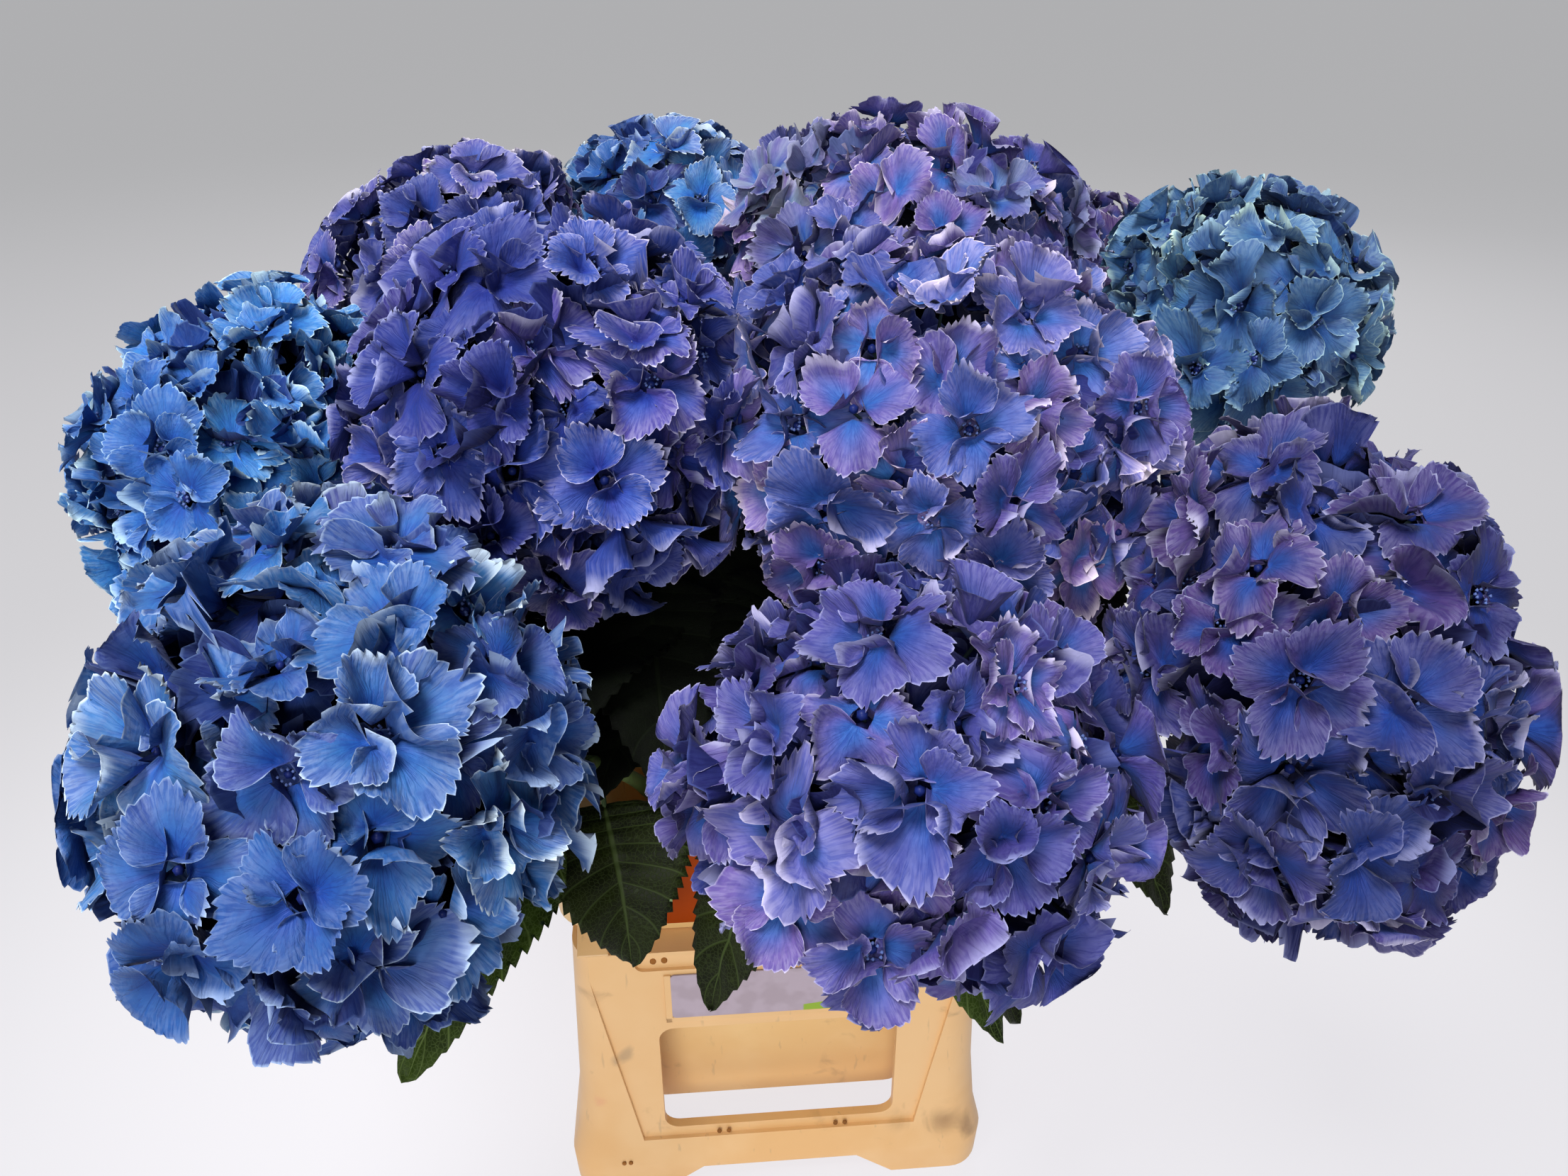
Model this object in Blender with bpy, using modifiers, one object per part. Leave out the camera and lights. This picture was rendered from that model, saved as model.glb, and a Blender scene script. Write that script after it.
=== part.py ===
"""Cut hydrangea stems in a flower bucket: mophead blooms, stems, leaves and the bucket.

Metres, +Z up. The bucket's feet stand on z = 0 and its card faces -Y.
"""

import math
import random

import bmesh
import bpy
from mathutils import Matrix, Vector
from mathutils.geometry import interpolate_bezier

# The blooms spread evenly round the origin. The bucket stands a little off it.
PLANT_X = -0.0015
PLANT_Y = 0.0175
BUCKET_X = -0.0195
BUCKET_Y = 0.0225
GAP = 0.0003

# Lower skirt, as levels of (z, half width, half depth) outside and inside.
SKIRT_OUTSIDE = (
    (0.0, 0.1425, 0.2030),
    (0.028, 0.1435, 0.2040),
    (0.046, 0.1390, 0.1985),
    (0.090, 0.1345, 0.1965),
    (0.216, 0.1290, 0.1930),
)
SKIRT_INSIDE = (
    (0.004, 0.1375, 0.1975),
    (0.030, 0.1375, 0.1950),
    (0.050, 0.1325, 0.1890),
    (0.213, 0.1245, 0.1845),
)
SKIRT_CORNER = 0.022
FOOT_FLANGE_X = 0.124
FOOT_FLANGE_Y = 0.184
PANEL_SPLIT_Y = 0.160
POST_CREASE_LOW = 0.093
POST_CREASE_HIGH = 0.1225
POST_RISE = 0.004

# Openings of the skirt.
WINDOW_BOTTOM = 0.054
WINDOW_TOP = 0.149
WINDOW_HALF = 0.078
SIDE_WINDOW_NEAR = 0.012
SIDE_WINDOW_FAR = 0.136
WINDOW_CORNER = 0.010
ARCH_HEIGHT = 0.021
ARCH_FRONT = (0.080, 0.053)
ARCH_SIDE = (0.124, 0.096)
SLOT_BOTTOM = 0.2005
SLOT_TOP = 0.2125
SLOT_HALF = 0.090
SLOT_DEPTH = 0.0028

# Inner bucket and its collar.
BODY_OUTSIDE = ((0.025, 0.104, 0.148), (0.232, 0.1240, 0.1690))
BODY_INSIDE = ((0.029, 0.1005, 0.1445), (0.234, 0.1210, 0.1660))
COLLAR_OUTSIDE = ((0.2235, 0.1380, 0.1740), (0.300, 0.1425, 0.1790))
NECK_OUTSIDE = ((0.2163, 0.1270, 0.1710), (0.226, 0.1270, 0.1710))
COLLAR_INSIDE = ((0.2265, 0.1340, 0.1700), (0.320, 0.1410, 0.1776))
RIM_OUTSIDE = ((0.288, 0.1440, 0.1805), (0.309, 0.1455, 0.1820))
BUCKET_CORNER = 0.024
BUCKET_FLOOR = 0.029

# Panel on the collar and the card below it.
COLOUR_PANEL_HALF = 0.096
COLOUR_PANEL_LOW = 0.2260
COLOUR_PANEL_HIGH = 0.2865
PANEL_THICK = 0.0016
CARD_HALF = 0.0685
CARD_LOW = 0.160
CARD_HIGH = 0.197
CARD_THICK = 0.0012

# Blooms: name, centre, half sizes (across, fore and aft, along the stem) and colour.
BLOOMS = (
    ("front_left", (-0.210, -0.305, 0.461), (0.105, 0.118, 0.094), (84, 125, 205)),
    ("front_centre", (0.028, -0.318, 0.448), (0.104, 0.096, 0.084), (110, 115, 200)),
    ("front_right", (0.222, -0.278, 0.472), (0.089, 0.123, 0.088), (92, 96, 180)),
    ("centre", (0.071, -0.150, 0.537), (0.128, 0.111, 0.100), (110, 118, 200)),
    ("centre_left", (-0.126, -0.127, 0.550), (0.111, 0.114, 0.095), (72, 82, 175)),
    ("left", (-0.302, -0.080, 0.510), (0.084, 0.120, 0.086), (92, 145, 220)),
    ("back_left", (-0.212, 0.085, 0.562), (0.100, 0.085, 0.076), (72, 78, 165)),
    ("back_centre", (-0.072, 0.152, 0.574), (0.088, 0.088, 0.074), (68, 98, 180)),
    ("back_crown", (0.088, 0.052, 0.580), (0.126, 0.092, 0.090), (122, 120, 190)),
    ("back_right", (0.298, 0.035, 0.543), (0.083, 0.122, 0.087), (78, 120, 190)),
    ("rear_left", (-0.155, 0.278, 0.490), (0.104, 0.104, 0.086), (80, 105, 195)),
    ("rear_centre", (0.062, 0.264, 0.515), (0.108, 0.106, 0.088), (104, 108, 192)),
    ("rear_right", (0.252, 0.225, 0.490), (0.104, 0.104, 0.086), (84, 96, 182)),
)
FAN_HEIGHT = 0.22
CORE_SHARE = 0.78
FLORET_COVER = 3.7
FEWEST_FLORETS = 17
FLORET_RADIUS = 0.040
FLORET_STALK = 0.030
FLORET_DISH = 0.007
NOTCH_SHARE = 0.64
BARE_UNDERSIDE = -0.70
FLORET_SIZES = (1.0, 0.85, 0.7)
FLORET_TILT = 0.30

# Stems.
STEM_FOOT_RADIUS = 0.0055
STEM_TOP_RADIUS = 0.0036
STEM_POINTS = 8
STEM_KNEE = 0.34
STEM_NECK = 0.070
STEM_FOOT_GAP = 0.0007
FOOT_SPREAD = (0.17, 0.30)

# Leaves: name, bloom whose stem bears it, place up that stem, tip, width, arch and trough.
LEAVES = (
    ("hanging", "front_left", 0.60, (-0.104, -0.240, 0.267), 0.082, 0.040, 0.40),
    ("over_card", "front_centre", 0.56, (-0.061, -0.232, 0.217), 0.080, 0.034, 0.18),
    ("low_left", "front_left", 0.78, (-0.228, -0.312, 0.310), 0.085, 0.014, 0.20),
    ("low_centre", "front_centre", 0.62, (0.117, -0.252, 0.212), 0.072, 0.022, 0.20),
    ("low_right", "front_right", 0.70, (0.186, -0.262, 0.305), 0.072, 0.020, 0.25),
    ("shaded", "centre_left", 0.84, (-0.078, -0.232, 0.378), 0.085, 0.018, 0.20),
    ("shaded_low", "centre", 0.72, (-0.062, -0.205, 0.335), 0.080, 0.016, 0.20),
    ("side_left", "left", 0.74, (-0.285, -0.020, 0.330), 0.090, 0.028, 0.20),
    ("side_back_left", "back_left", 0.80, (-0.262, 0.165, 0.395), 0.085, 0.024, 0.20),
    ("side_right", "back_right", 0.74, (0.292, -0.052, 0.345), 0.090, 0.028, 0.20),
    ("side_back_right", "rear_right", 0.74, (0.292, 0.170, 0.330), 0.085, 0.026, 0.20),
    ("back_left", "rear_left", 0.72, (-0.185, 0.335, 0.300), 0.088, 0.028, 0.20),
    ("back_centre", "rear_centre", 0.62, (-0.030, 0.300, 0.280), 0.086, 0.016, 0.15),
    ("back_right", "rear_centre", 0.74, (0.135, 0.318, 0.330), 0.080, 0.024, 0.20),
)
LEAF_THICK = 0.0016
LEAF_STATIONS = 7
PETIOLE_SHARE = 0.20
PETIOLE_HALF = 0.0022
PETIOLE_REACH = 0.030

CREAM = (213, 171, 121)
ORANGE = (150, 50, 8)
CARD_COLOUR = (168, 152, 160)
STEM_GREEN = (88, 104, 48)
LEAF_GREEN = (38, 66, 30)


def linear(colour):
    """Scene-linear RGBA from 0-255 display values."""
    channels = [value / 255 for value in colour]
    return [c / 12.92 if c <= 0.04045 else ((c + 0.055) / 1.055) ** 2.4 for c in channels] + [1.0]


def material(name, colour, roughness):
    made = bpy.data.materials.new(name)
    made.use_nodes = True
    shader = made.node_tree.nodes["Principled BSDF"]
    shader.inputs["Base Color"].default_value = linear(colour)
    shader.inputs["Roughness"].default_value = roughness
    shader.inputs["Metallic"].default_value = 0.0
    return made


def add_object(name, mesh, group, slot=None, place=(0.0, 0.0, 0.0)):
    """An object in the group from a bmesh, which is freed."""
    data = bpy.data.meshes.new(name)
    bmesh.ops.recalc_face_normals(mesh, faces=mesh.faces[:])
    mesh.to_mesh(data)
    mesh.free()
    if slot:
        data.materials.append(slot)
    made = bpy.data.objects.new(name, data)
    made.location = place
    group.objects.link(made)
    return made


def column(levels, radius, segments=4):
    """An upright body whose rounded rectangle changes from level to level."""
    mesh = bmesh.new()
    bmesh.ops.create_grid(mesh, x_segments=1, y_segments=1, size=1.0)
    top = mesh.faces[:][0]
    for index, (z, half_x, half_y) in enumerate(levels):
        if index:
            below = top
            made = bmesh.ops.extrude_face_region(mesh, geom=[below])["geom"]
            top = next(item for item in made if isinstance(item, bmesh.types.BMFace))
            if index > 1:
                bmesh.ops.delete(mesh, geom=[below], context="FACES_ONLY")
        for corner in top.verts:
            x = math.copysign(half_x, corner.co.x)
            corner.co = (x, math.copysign(half_y, corner.co.y), z)
    upright = [e for e in mesh.edges if abs(e.verts[0].co.z - e.verts[1].co.z) > 1e-5]
    bmesh.ops.bevel(
        mesh, geom=upright, offset=radius, offset_type="OFFSET",
        segments=segments, profile=0.5, affect="EDGES",
    )
    return mesh


def tapered_box(bottom, top):
    """A box whose bottom and top are each (x low, x high, y low, y high, z)."""
    mesh = bmesh.new()
    for corner in bmesh.ops.create_cube(mesh, size=2.0)["verts"]:
        x_low, x_high, y_low, y_high, z = bottom if corner.co.z < 0 else top
        x = x_low if corner.co.x < 0 else x_high
        corner.co = (x, y_low if corner.co.y < 0 else y_high, z)
    return mesh


def rounded_box(x_range, y_range, z_range, axis, radius, segments=3):
    """A box with the four edges along one axis rounded."""
    mesh = tapered_box((*x_range, *y_range, z_range[0]), (*x_range, *y_range, z_range[1]))
    along = [
        e for e in mesh.edges
        if abs(e.verts[0].co[axis] - e.verts[1].co[axis]) > 1e-5
    ]
    bmesh.ops.bevel(
        mesh, geom=along, offset=radius, offset_type="OFFSET",
        segments=segments, profile=0.5, affect="EDGES",
    )
    return mesh


def add_boolean(target, operation, cutter):
    """A live Boolean with one object, or with every object of a collection."""
    step = target.modifiers.new(operation.title(), "BOOLEAN")
    step.operation = operation
    step.solver = "EXACT"
    if isinstance(cutter, bpy.types.Collection):
        step.operand_type = "COLLECTION"
        step.collection = cutter
    else:
        step.object = cutter
    return step


def new_group(name, parent, hidden=False):
    group = bpy.data.collections.new(name)
    parent.children.link(group)
    group.hide_render = hidden
    return group


def add_cutter(name, mesh, group):
    made = add_object(name, mesh, group, None, (BUCKET_X, BUCKET_Y, 0.0))
    made.hide_render = True
    made.display_type = "WIRE"
    return made


def face_y(z):
    """Half depth of the skirt's sunk front between its corner posts."""
    low, high = SKIRT_OUTSIDE[2], SKIRT_OUTSIDE[4]
    share = (z - low[0]) / (high[0] - low[0])
    return low[2] + (high[2] - low[2]) * share - POST_RISE


def skirt_cutters(group):
    """The openings, arches, slots and sunk panels of the skirt."""
    window = (WINDOW_BOTTOM, WINDOW_TOP)
    across = rounded_box((-WINDOW_HALF, WINDOW_HALF), (-0.3, 0.3), window, 1, WINDOW_CORNER)
    add_cutter("cut_end_windows", across, group)
    for name, side in (("front", -1), ("back", 1)):
        span = sorted((side * SIDE_WINDOW_NEAR, side * SIDE_WINDOW_FAR))
        mesh = rounded_box((-0.3, 0.3), span, window, 0, WINDOW_CORNER)
        add_cutter("cut_side_windows_" + name, mesh, group)
    low, high = ARCH_FRONT
    mesh = tapered_box((-low, low, -0.3, 0.3, -0.001), (-high, high, -0.3, 0.3, ARCH_HEIGHT))
    add_cutter("cut_end_arches", mesh, group)
    low, high = ARCH_SIDE
    mesh = tapered_box((-0.3, 0.3, -low, low, -0.001), (-0.3, 0.3, -high, high, ARCH_HEIGHT))
    add_cutter("cut_side_arches", mesh, group)
    for name, side in (("front", -1), ("back", 1)):
        spans = []
        for z in (SKIRT_OUTSIDE[2][0], SKIRT_OUTSIDE[4][0] + 0.002):
            spans.append(sorted((side * face_y(z), side * 0.3)))
        mesh = tapered_box(
            (-POST_CREASE_LOW, POST_CREASE_LOW, *spans[0], SKIRT_OUTSIDE[2][0]),
            (-POST_CREASE_HIGH, POST_CREASE_HIGH, *spans[1], SKIRT_OUTSIDE[4][0] + 0.002),
        )
        add_cutter("cut_panel_" + name, mesh, group)
        span = sorted((side * (face_y(SLOT_BOTTOM) - SLOT_DEPTH), side * 0.3))
        mesh = rounded_box(
            (-SLOT_HALF, SLOT_HALF), span, (SLOT_BOTTOM, SLOT_TOP), 1, 0.0055
        )
        add_cutter("cut_slot_" + name, mesh, group)


def build_skirt(group, cutters, cream):
    """The skirt in four panels, two ends with the corner posts and two sides."""
    openings = new_group("skirt_openings", cutters, True)
    skirt_cutters(openings)
    hollow = add_cutter("cut_skirt_inside", column(SKIRT_INSIDE, 0.018), cutters)
    seat = rounded_box(
        (-FOOT_FLANGE_X, FOOT_FLANGE_X), (-FOOT_FLANGE_Y, FOOT_FLANGE_Y), (-0.001, 0.01),
        2, 0.016,
    )
    under = add_cutter("cut_skirt_underside", seat, cutters)
    top_seat = rounded_box((-0.1227, 0.1227), (-0.1677, 0.1677), (0.2, 0.22), 2, 0.024, 4)
    top = add_cutter("cut_bucket_seat", top_seat, cutters)
    keep = PANEL_SPLIT_Y
    parts = (
        ("skirt_front", (-0.2, 0.2), (-0.3, -keep)),
        ("skirt_back", (-0.2, 0.2), (keep, 0.3)),
        ("skirt_left", (-0.2, 0.0), (-keep + GAP, keep - GAP)),
        ("skirt_right", (0.0, 0.2), (-keep + GAP, keep - GAP)),
    )
    for name, x_range, y_range in parts:
        panel = add_object(
            name, column(SKIRT_OUTSIDE, SKIRT_CORNER), group, cream, (BUCKET_X, BUCKET_Y, 0.0)
        )
        box = tapered_box((*x_range, *y_range, -0.01), (*x_range, *y_range, 0.25))
        limit = add_cutter("keep_" + name, box, cutters)
        for cutter in (hollow, under, top, openings):
            add_boolean(panel, "DIFFERENCE", cutter)
        add_boolean(panel, "INTERSECT", limit)


def build_bucket(group, cutters, cream):
    """The tapered inner bucket with its wider collar and rim band."""
    bucket = add_object(
        "bucket", column(BODY_OUTSIDE, BUCKET_CORNER), group, cream, (BUCKET_X, BUCKET_Y, 0.0)
    )
    additions = new_group("bucket_additions", cutters, True)
    add_cutter("add_neck", column(NECK_OUTSIDE, BUCKET_CORNER, 2), additions)
    add_cutter("add_collar", column(COLLAR_OUTSIDE, BUCKET_CORNER), additions)
    add_cutter("add_rim", column(RIM_OUTSIDE, BUCKET_CORNER), additions)
    hollows = new_group("bucket_hollows", cutters, True)
    add_cutter("cut_body", column(BODY_INSIDE, BUCKET_CORNER - 0.003, 3), hollows)
    add_cutter("cut_collar", column(COLLAR_INSIDE, BUCKET_CORNER - 0.003, 3), hollows)
    add_boolean(bucket, "UNION", additions)
    add_boolean(bucket, "DIFFERENCE", hollows)


def build_panel_and_card(group, orange, card_slot):
    """The coloured panel on the collar's front and the plain card in the skirt."""
    lean = (COLLAR_OUTSIDE[1][2] - COLLAR_OUTSIDE[0][2]) / (COLLAR_OUTSIDE[1][0] - COLLAR_OUTSIDE[0][0])
    rows = []
    for z in (COLOUR_PANEL_LOW, COLOUR_PANEL_HIGH):
        back = -(COLLAR_OUTSIDE[0][2] + lean * (z - COLLAR_OUTSIDE[0][0]) + GAP)
        rows.append((-COLOUR_PANEL_HALF, COLOUR_PANEL_HALF, back - PANEL_THICK, back, z))
    add_object("colour_panel", tapered_box(*rows), group, orange, (BUCKET_X, BUCKET_Y, 0.0))
    rows = []
    for z in (CARD_LOW, CARD_HIGH):
        back = -(face_y(z) + GAP)
        rows.append((-CARD_HALF, CARD_HALF, back - CARD_THICK, back, z))
    add_object("card", tapered_box(*rows), group, card_slot, (BUCKET_X, BUCKET_Y, 0.0))


def bloom_centre(place):
    return Vector(place) + Vector((PLANT_X, PLANT_Y, 0.0))


def bloom_axes(place):
    """Matrix whose columns are the bloom's across, fore-and-aft and stem directions."""
    along = (Vector(place) - Vector((0.0, 0.0, FAN_HEIGHT))).normalized()
    across = (Vector((1.0, 0.0, 0.0)) - along * along.x).normalized()
    return Matrix((across, along.cross(across), along)).transposed()


def reach(axes, half_sizes, direction):
    """How far a bloom's outline lies from its centre along a direction, as a tangent plane."""
    local = axes.transposed() @ direction
    return Vector((local[i] * half_sizes[i] for i in range(3))).length


def contact_planes(index):
    """(point, direction) of the planes where the bloom presses on its neighbours."""
    _, place, sizes, _ = BLOOMS[index]
    here = bloom_centre(place)
    axes = bloom_axes(place)
    planes = []
    for other, (_, other_place, other_sizes, _) in enumerate(BLOOMS):
        there = bloom_centre(other_place)
        if other == index or (there - here).length > 0.32:
            continue
        direction = (there - here).normalized()
        mine = reach(axes, sizes, direction)
        theirs = reach(bloom_axes(other_place), other_sizes, direction)
        share = mine / (mine + theirs)
        planes.append((here + (there - here) * share - direction * 0.0006, direction))
    return planes


def inside_planes(points, planes):
    return all((p - spot).dot(direction) < 0 for p in points for spot, direction in planes)


def floret_mesh(radius):
    """One floret: a shallow four-lobed cup that narrows to its stalk."""
    mesh = bmesh.new()
    bmesh.ops.create_cone(
        mesh, cap_ends=True, segments=8, radius1=0.0, radius2=radius, depth=FLORET_STALK,
        matrix=Matrix.Translation((0.0, 0.0, -FLORET_STALK / 2)),
    )
    rim = [v for v in mesh.verts if v.co.z > -1e-6]
    for vertex in rim:
        turn = round(math.atan2(vertex.co.y, vertex.co.x) / (math.pi / 4))
        if turn % 2:
            vertex.co.x *= NOTCH_SHARE
            vertex.co.y *= NOTCH_SHARE
            vertex.co.z -= 0.003
    cap = next(f for f in mesh.faces if len(f.verts) == 8)
    middle = bmesh.ops.poke(mesh, faces=[cap])["verts"][0]
    middle.co.z = -FLORET_DISH
    return mesh


def directions(count):
    """Unit vectors spread evenly over a ball, from the top down."""
    turn = math.pi * (3 - math.sqrt(5))
    for index in range(count):
        z = 1 - (2 * index + 1) / count
        flat = math.sqrt(1 - z * z)
        yield Vector((flat * math.cos(turn * index), flat * math.sin(turn * index), z))


def floret_turns(axes, sizes, local, source):
    """Rotation that faces a floret outwards, with a little tilt and spin."""
    normal = Vector((local[i] / sizes[i] for i in range(3))).normalized()
    normal += Vector((source.uniform(-1, 1) for _ in range(3))) * FLORET_TILT
    facing = (axes @ normal).to_track_quat("Z", "Y").to_matrix()
    return facing @ Matrix.Rotation(source.uniform(0, math.pi / 2), 3, "Z")


def build_bloom(index, group):
    """A solid bloom: an inner core with the florets standing out of it."""
    name, place, sizes, colour = BLOOMS[index]
    source = random.Random(index + 11)
    centre = bloom_centre(place)
    axes = bloom_axes(place)
    planes = contact_planes(index)
    slot = material("bloom_" + name, colour, 0.75)
    mesh = bmesh.new()
    bmesh.ops.create_uvsphere(mesh, u_segments=12, v_segments=8, radius=CORE_SHARE)
    bmesh.ops.transform(mesh, matrix=Matrix.Diagonal((*sizes, 1.0)), verts=mesh.verts[:])
    core = add_object("head_" + name, mesh, group, slot, centre)
    core.rotation_euler = axes.to_euler()
    florets = bpy.data.collections.new("florets")
    bpy.context.scene.collection.children.link(florets)
    across, deep, tall = sizes
    area = (across * deep + deep * tall + tall * across) / 3
    count = max(FEWEST_FLORETS, round(FLORET_COVER * area / FLORET_RADIUS**2))
    for way in directions(count):
        turned = Matrix.Rotation(source.uniform(-0.12, 0.12), 3, "X") @ way
        facing = floret_turns(axes, sizes, turned, source)
        size_now = source.uniform(0.92, 1.08)
        if turned.z < BARE_UNDERSIDE:
            continue
        for share in FLORET_SIZES:
            radius = FLORET_RADIUS * size_now * share
            depth = 0.97 - 0.5 * (radius / 0.1) ** 2
            local = Vector((turned[i] * sizes[i] * depth * (0.6 + 0.4 * share) for i in range(3)))
            spot = centre + axes @ local
            piece = floret_mesh(radius)
            for vertex in piece.verts:
                vertex.co = spot + facing @ vertex.co
            if inside_planes([v.co for v in piece.verts], planes):
                add_object("floret", piece, florets)
                break
            piece.free()
    fuse(core, florets)
    return core


def fuse(core, pieces):
    """Joins the pieces to the core as one closed body, and removes them."""
    add_boolean(core, "UNION", pieces)
    bpy.context.view_layer.update()
    graph = bpy.context.evaluated_depsgraph_get()
    joined = bpy.data.meshes.new_from_object(core.evaluated_get(graph))
    joined.name = core.data.name
    core.modifiers.clear()
    core.data = joined
    for piece in list(pieces.objects):
        bpy.data.objects.remove(piece)
    bpy.data.collections.remove(pieces)
    keep_outer_shell(joined)


def keep_outer_shell(data):
    """Fills the small pockets closed in between florets, and cleans the joins."""
    mesh = bmesh.new()
    mesh.from_mesh(data)
    bmesh.ops.remove_doubles(mesh, verts=mesh.verts[:], dist=1e-6)
    waiting = set(mesh.verts)
    shells = []
    while waiting:
        shell = {waiting.pop()}
        edge = list(shell)
        while edge:
            near = {e.other_vert(v) for v in edge for e in v.link_edges} - shell
            shell |= near
            edge = list(near)
        waiting -= shell
        shells.append(shell)
    outer = max(shells, key=len)
    bmesh.ops.delete(mesh, geom=[v for v in mesh.verts if v not in outer], context="VERTS")
    bmesh.ops.dissolve_degenerate(mesh, dist=2e-6, edges=mesh.edges[:])
    bmesh.ops.triangulate(mesh, faces=mesh.faces[:])
    mesh.to_mesh(data)
    mesh.free()


def stem_handles(name):
    """Bezier handles of the stem under a bloom, from the bucket's floor to the core."""
    _, place, sizes, _ = next(bloom for bloom in BLOOMS if bloom[0] == name)
    along = bloom_axes(place).col[2]
    centre = bloom_centre(place)
    foot = Vector((place[0] * FOOT_SPREAD[0], place[1] * FOOT_SPREAD[1], 0.0))
    foot.z = BUCKET_FLOOR + STEM_FOOT_GAP
    foot += Vector((BUCKET_X, BUCKET_Y, 0.0))
    knee = Vector((foot.x, foot.y, STEM_KNEE))
    top = centre - along * (sizes[2] * CORE_SHARE + GAP)
    return foot, knee, top - along * STEM_NECK, top


def build_stem(name, group, slot):
    """One stem: a limb that tapers from its cut foot to the bloom."""
    points = interpolate_bezier(*stem_handles(name), STEM_POINTS)
    curve = bpy.data.curves.new("stem_" + name, "CURVE")
    curve.dimensions = "3D"
    curve.bevel_depth = 1.0
    curve.bevel_resolution = 1
    curve.use_fill_caps = True
    line = curve.splines.new("POLY")
    line.points.add(STEM_POINTS - 1)
    for index, (target, point) in enumerate(zip(line.points, points)):
        share = index / (STEM_POINTS - 1)
        target.co = (*point, 1.0)
        target.radius = STEM_FOOT_RADIUS + (STEM_TOP_RADIUS - STEM_FOOT_RADIUS) * share
    curve.materials.append(slot)
    guide = bpy.data.objects.new("guide", curve)
    group.objects.link(guide)
    bpy.context.view_layer.update()
    graph = bpy.context.evaluated_depsgraph_get()
    data = bpy.data.meshes.new_from_object(guide.evaluated_get(graph))
    bpy.data.objects.remove(guide)
    mesh = bmesh.new()
    mesh.from_mesh(data)
    bpy.data.meshes.remove(data)
    bmesh.ops.remove_doubles(mesh, verts=mesh.verts[:], dist=1e-6)
    for face in mesh.faces:
        face.smooth = len(face.verts) == 4
    return add_object("stem_" + name, mesh, group, slot)


def leaf_half_width(share, width):
    """Half width of a leaf at a share of its length, petiole and blade."""
    if share <= PETIOLE_SHARE:
        return PETIOLE_HALF
    blade = (share - PETIOLE_SHARE) / (1 - PETIOLE_SHARE)
    return PETIOLE_HALF * 0.6 + width / 2 * math.sin(math.pi * blade**0.75) ** 0.8 * (1 - blade * 0.1)


def build_leaf(row, group, slot):
    """One arched leaf with a petiole, folded along its midrib."""
    name, bearer, up_stem, tip, width, arch, trough = row
    tip = Vector(tip) + Vector((PLANT_X, PLANT_Y, 0.0))
    points = interpolate_bezier(*stem_handles(bearer), STEM_POINTS)
    below, rest = divmod(up_stem * (STEM_POINTS - 1), 1)
    spot = points[int(below)].lerp(points[int(below) + 1], rest)
    grow = (points[int(below) + 1] - points[int(below)]).normalized()
    way = (tip - spot).normalized()
    out = (way - grow * way.dot(grow)).normalized()
    radius = STEM_FOOT_RADIUS + (STEM_TOP_RADIUS - STEM_FOOT_RADIUS) * up_stem
    start = spot + out * (radius + GAP)
    crest = (start + tip) / 2 + Vector((0.0, 0.0, arch)) + Vector((way.x, way.y, 0.0)) * arch
    leaving = start + out * PETIOLE_REACH
    centre_line = interpolate_bezier(start, leaving, crest, tip, LEAF_STATIONS)
    mesh = bmesh.new()
    bmesh.ops.create_grid(mesh, x_segments=2, y_segments=LEAF_STATIONS - 1, size=0.5)
    for vertex in mesh.verts:
        station = round((vertex.co.y + 0.5) * (LEAF_STATIONS - 1))
        side = round(vertex.co.x * 2)
        low, high = max(station - 1, 0), min(station + 1, LEAF_STATIONS - 1)
        tangent = (centre_line[high] - centre_line[low]).normalized()
        level = way.cross(Vector((0.0, 0.0, 1.0))) if station else out.cross(grow)
        level.normalize()
        upper = level.cross(tangent).normalized()
        half = leaf_half_width(station / (LEAF_STATIONS - 1), width)
        vertex.co = centre_line[station] + (level * side + upper * abs(side) * trough) * half
    made = add_object("leaf_" + name, mesh, group, slot)
    step = made.modifiers.new("Thickness", "SOLIDIFY")
    step.thickness = LEAF_THICK
    step.offset = 0.0
    return made


def main():
    for old in list(bpy.data.objects):
        bpy.data.objects.remove(old)
    scene = bpy.context.scene
    plant = new_group("hydrangea_bucket", scene.collection)
    cutters = new_group("cutters", scene.collection, True)
    cream = material("cream_plastic", CREAM, 0.5)
    build_skirt(plant, cutters, cream)
    build_bucket(plant, cutters, cream)
    build_panel_and_card(
        plant, material("orange_panel", ORANGE, 0.55), material("card", CARD_COLOUR, 0.6)
    )
    stem_slot = material("stem", STEM_GREEN, 0.7)
    leaf_slot = material("leaf", LEAF_GREEN, 0.6)
    for index, bloom in enumerate(BLOOMS):
        build_bloom(index, plant)
        build_stem(bloom[0], plant, stem_slot)
    for row in LEAVES:
        build_leaf(row, plant, leaf_slot)


main()
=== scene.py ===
"""Looks for a bunch of cut hydrangeas in a flower bucket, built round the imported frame."""

import math
import random
from collections import namedtuple

import bmesh
import bpy
import numpy as np
from mathutils import Matrix, Vector
from mathutils.geometry import interpolate_bezier


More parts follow.
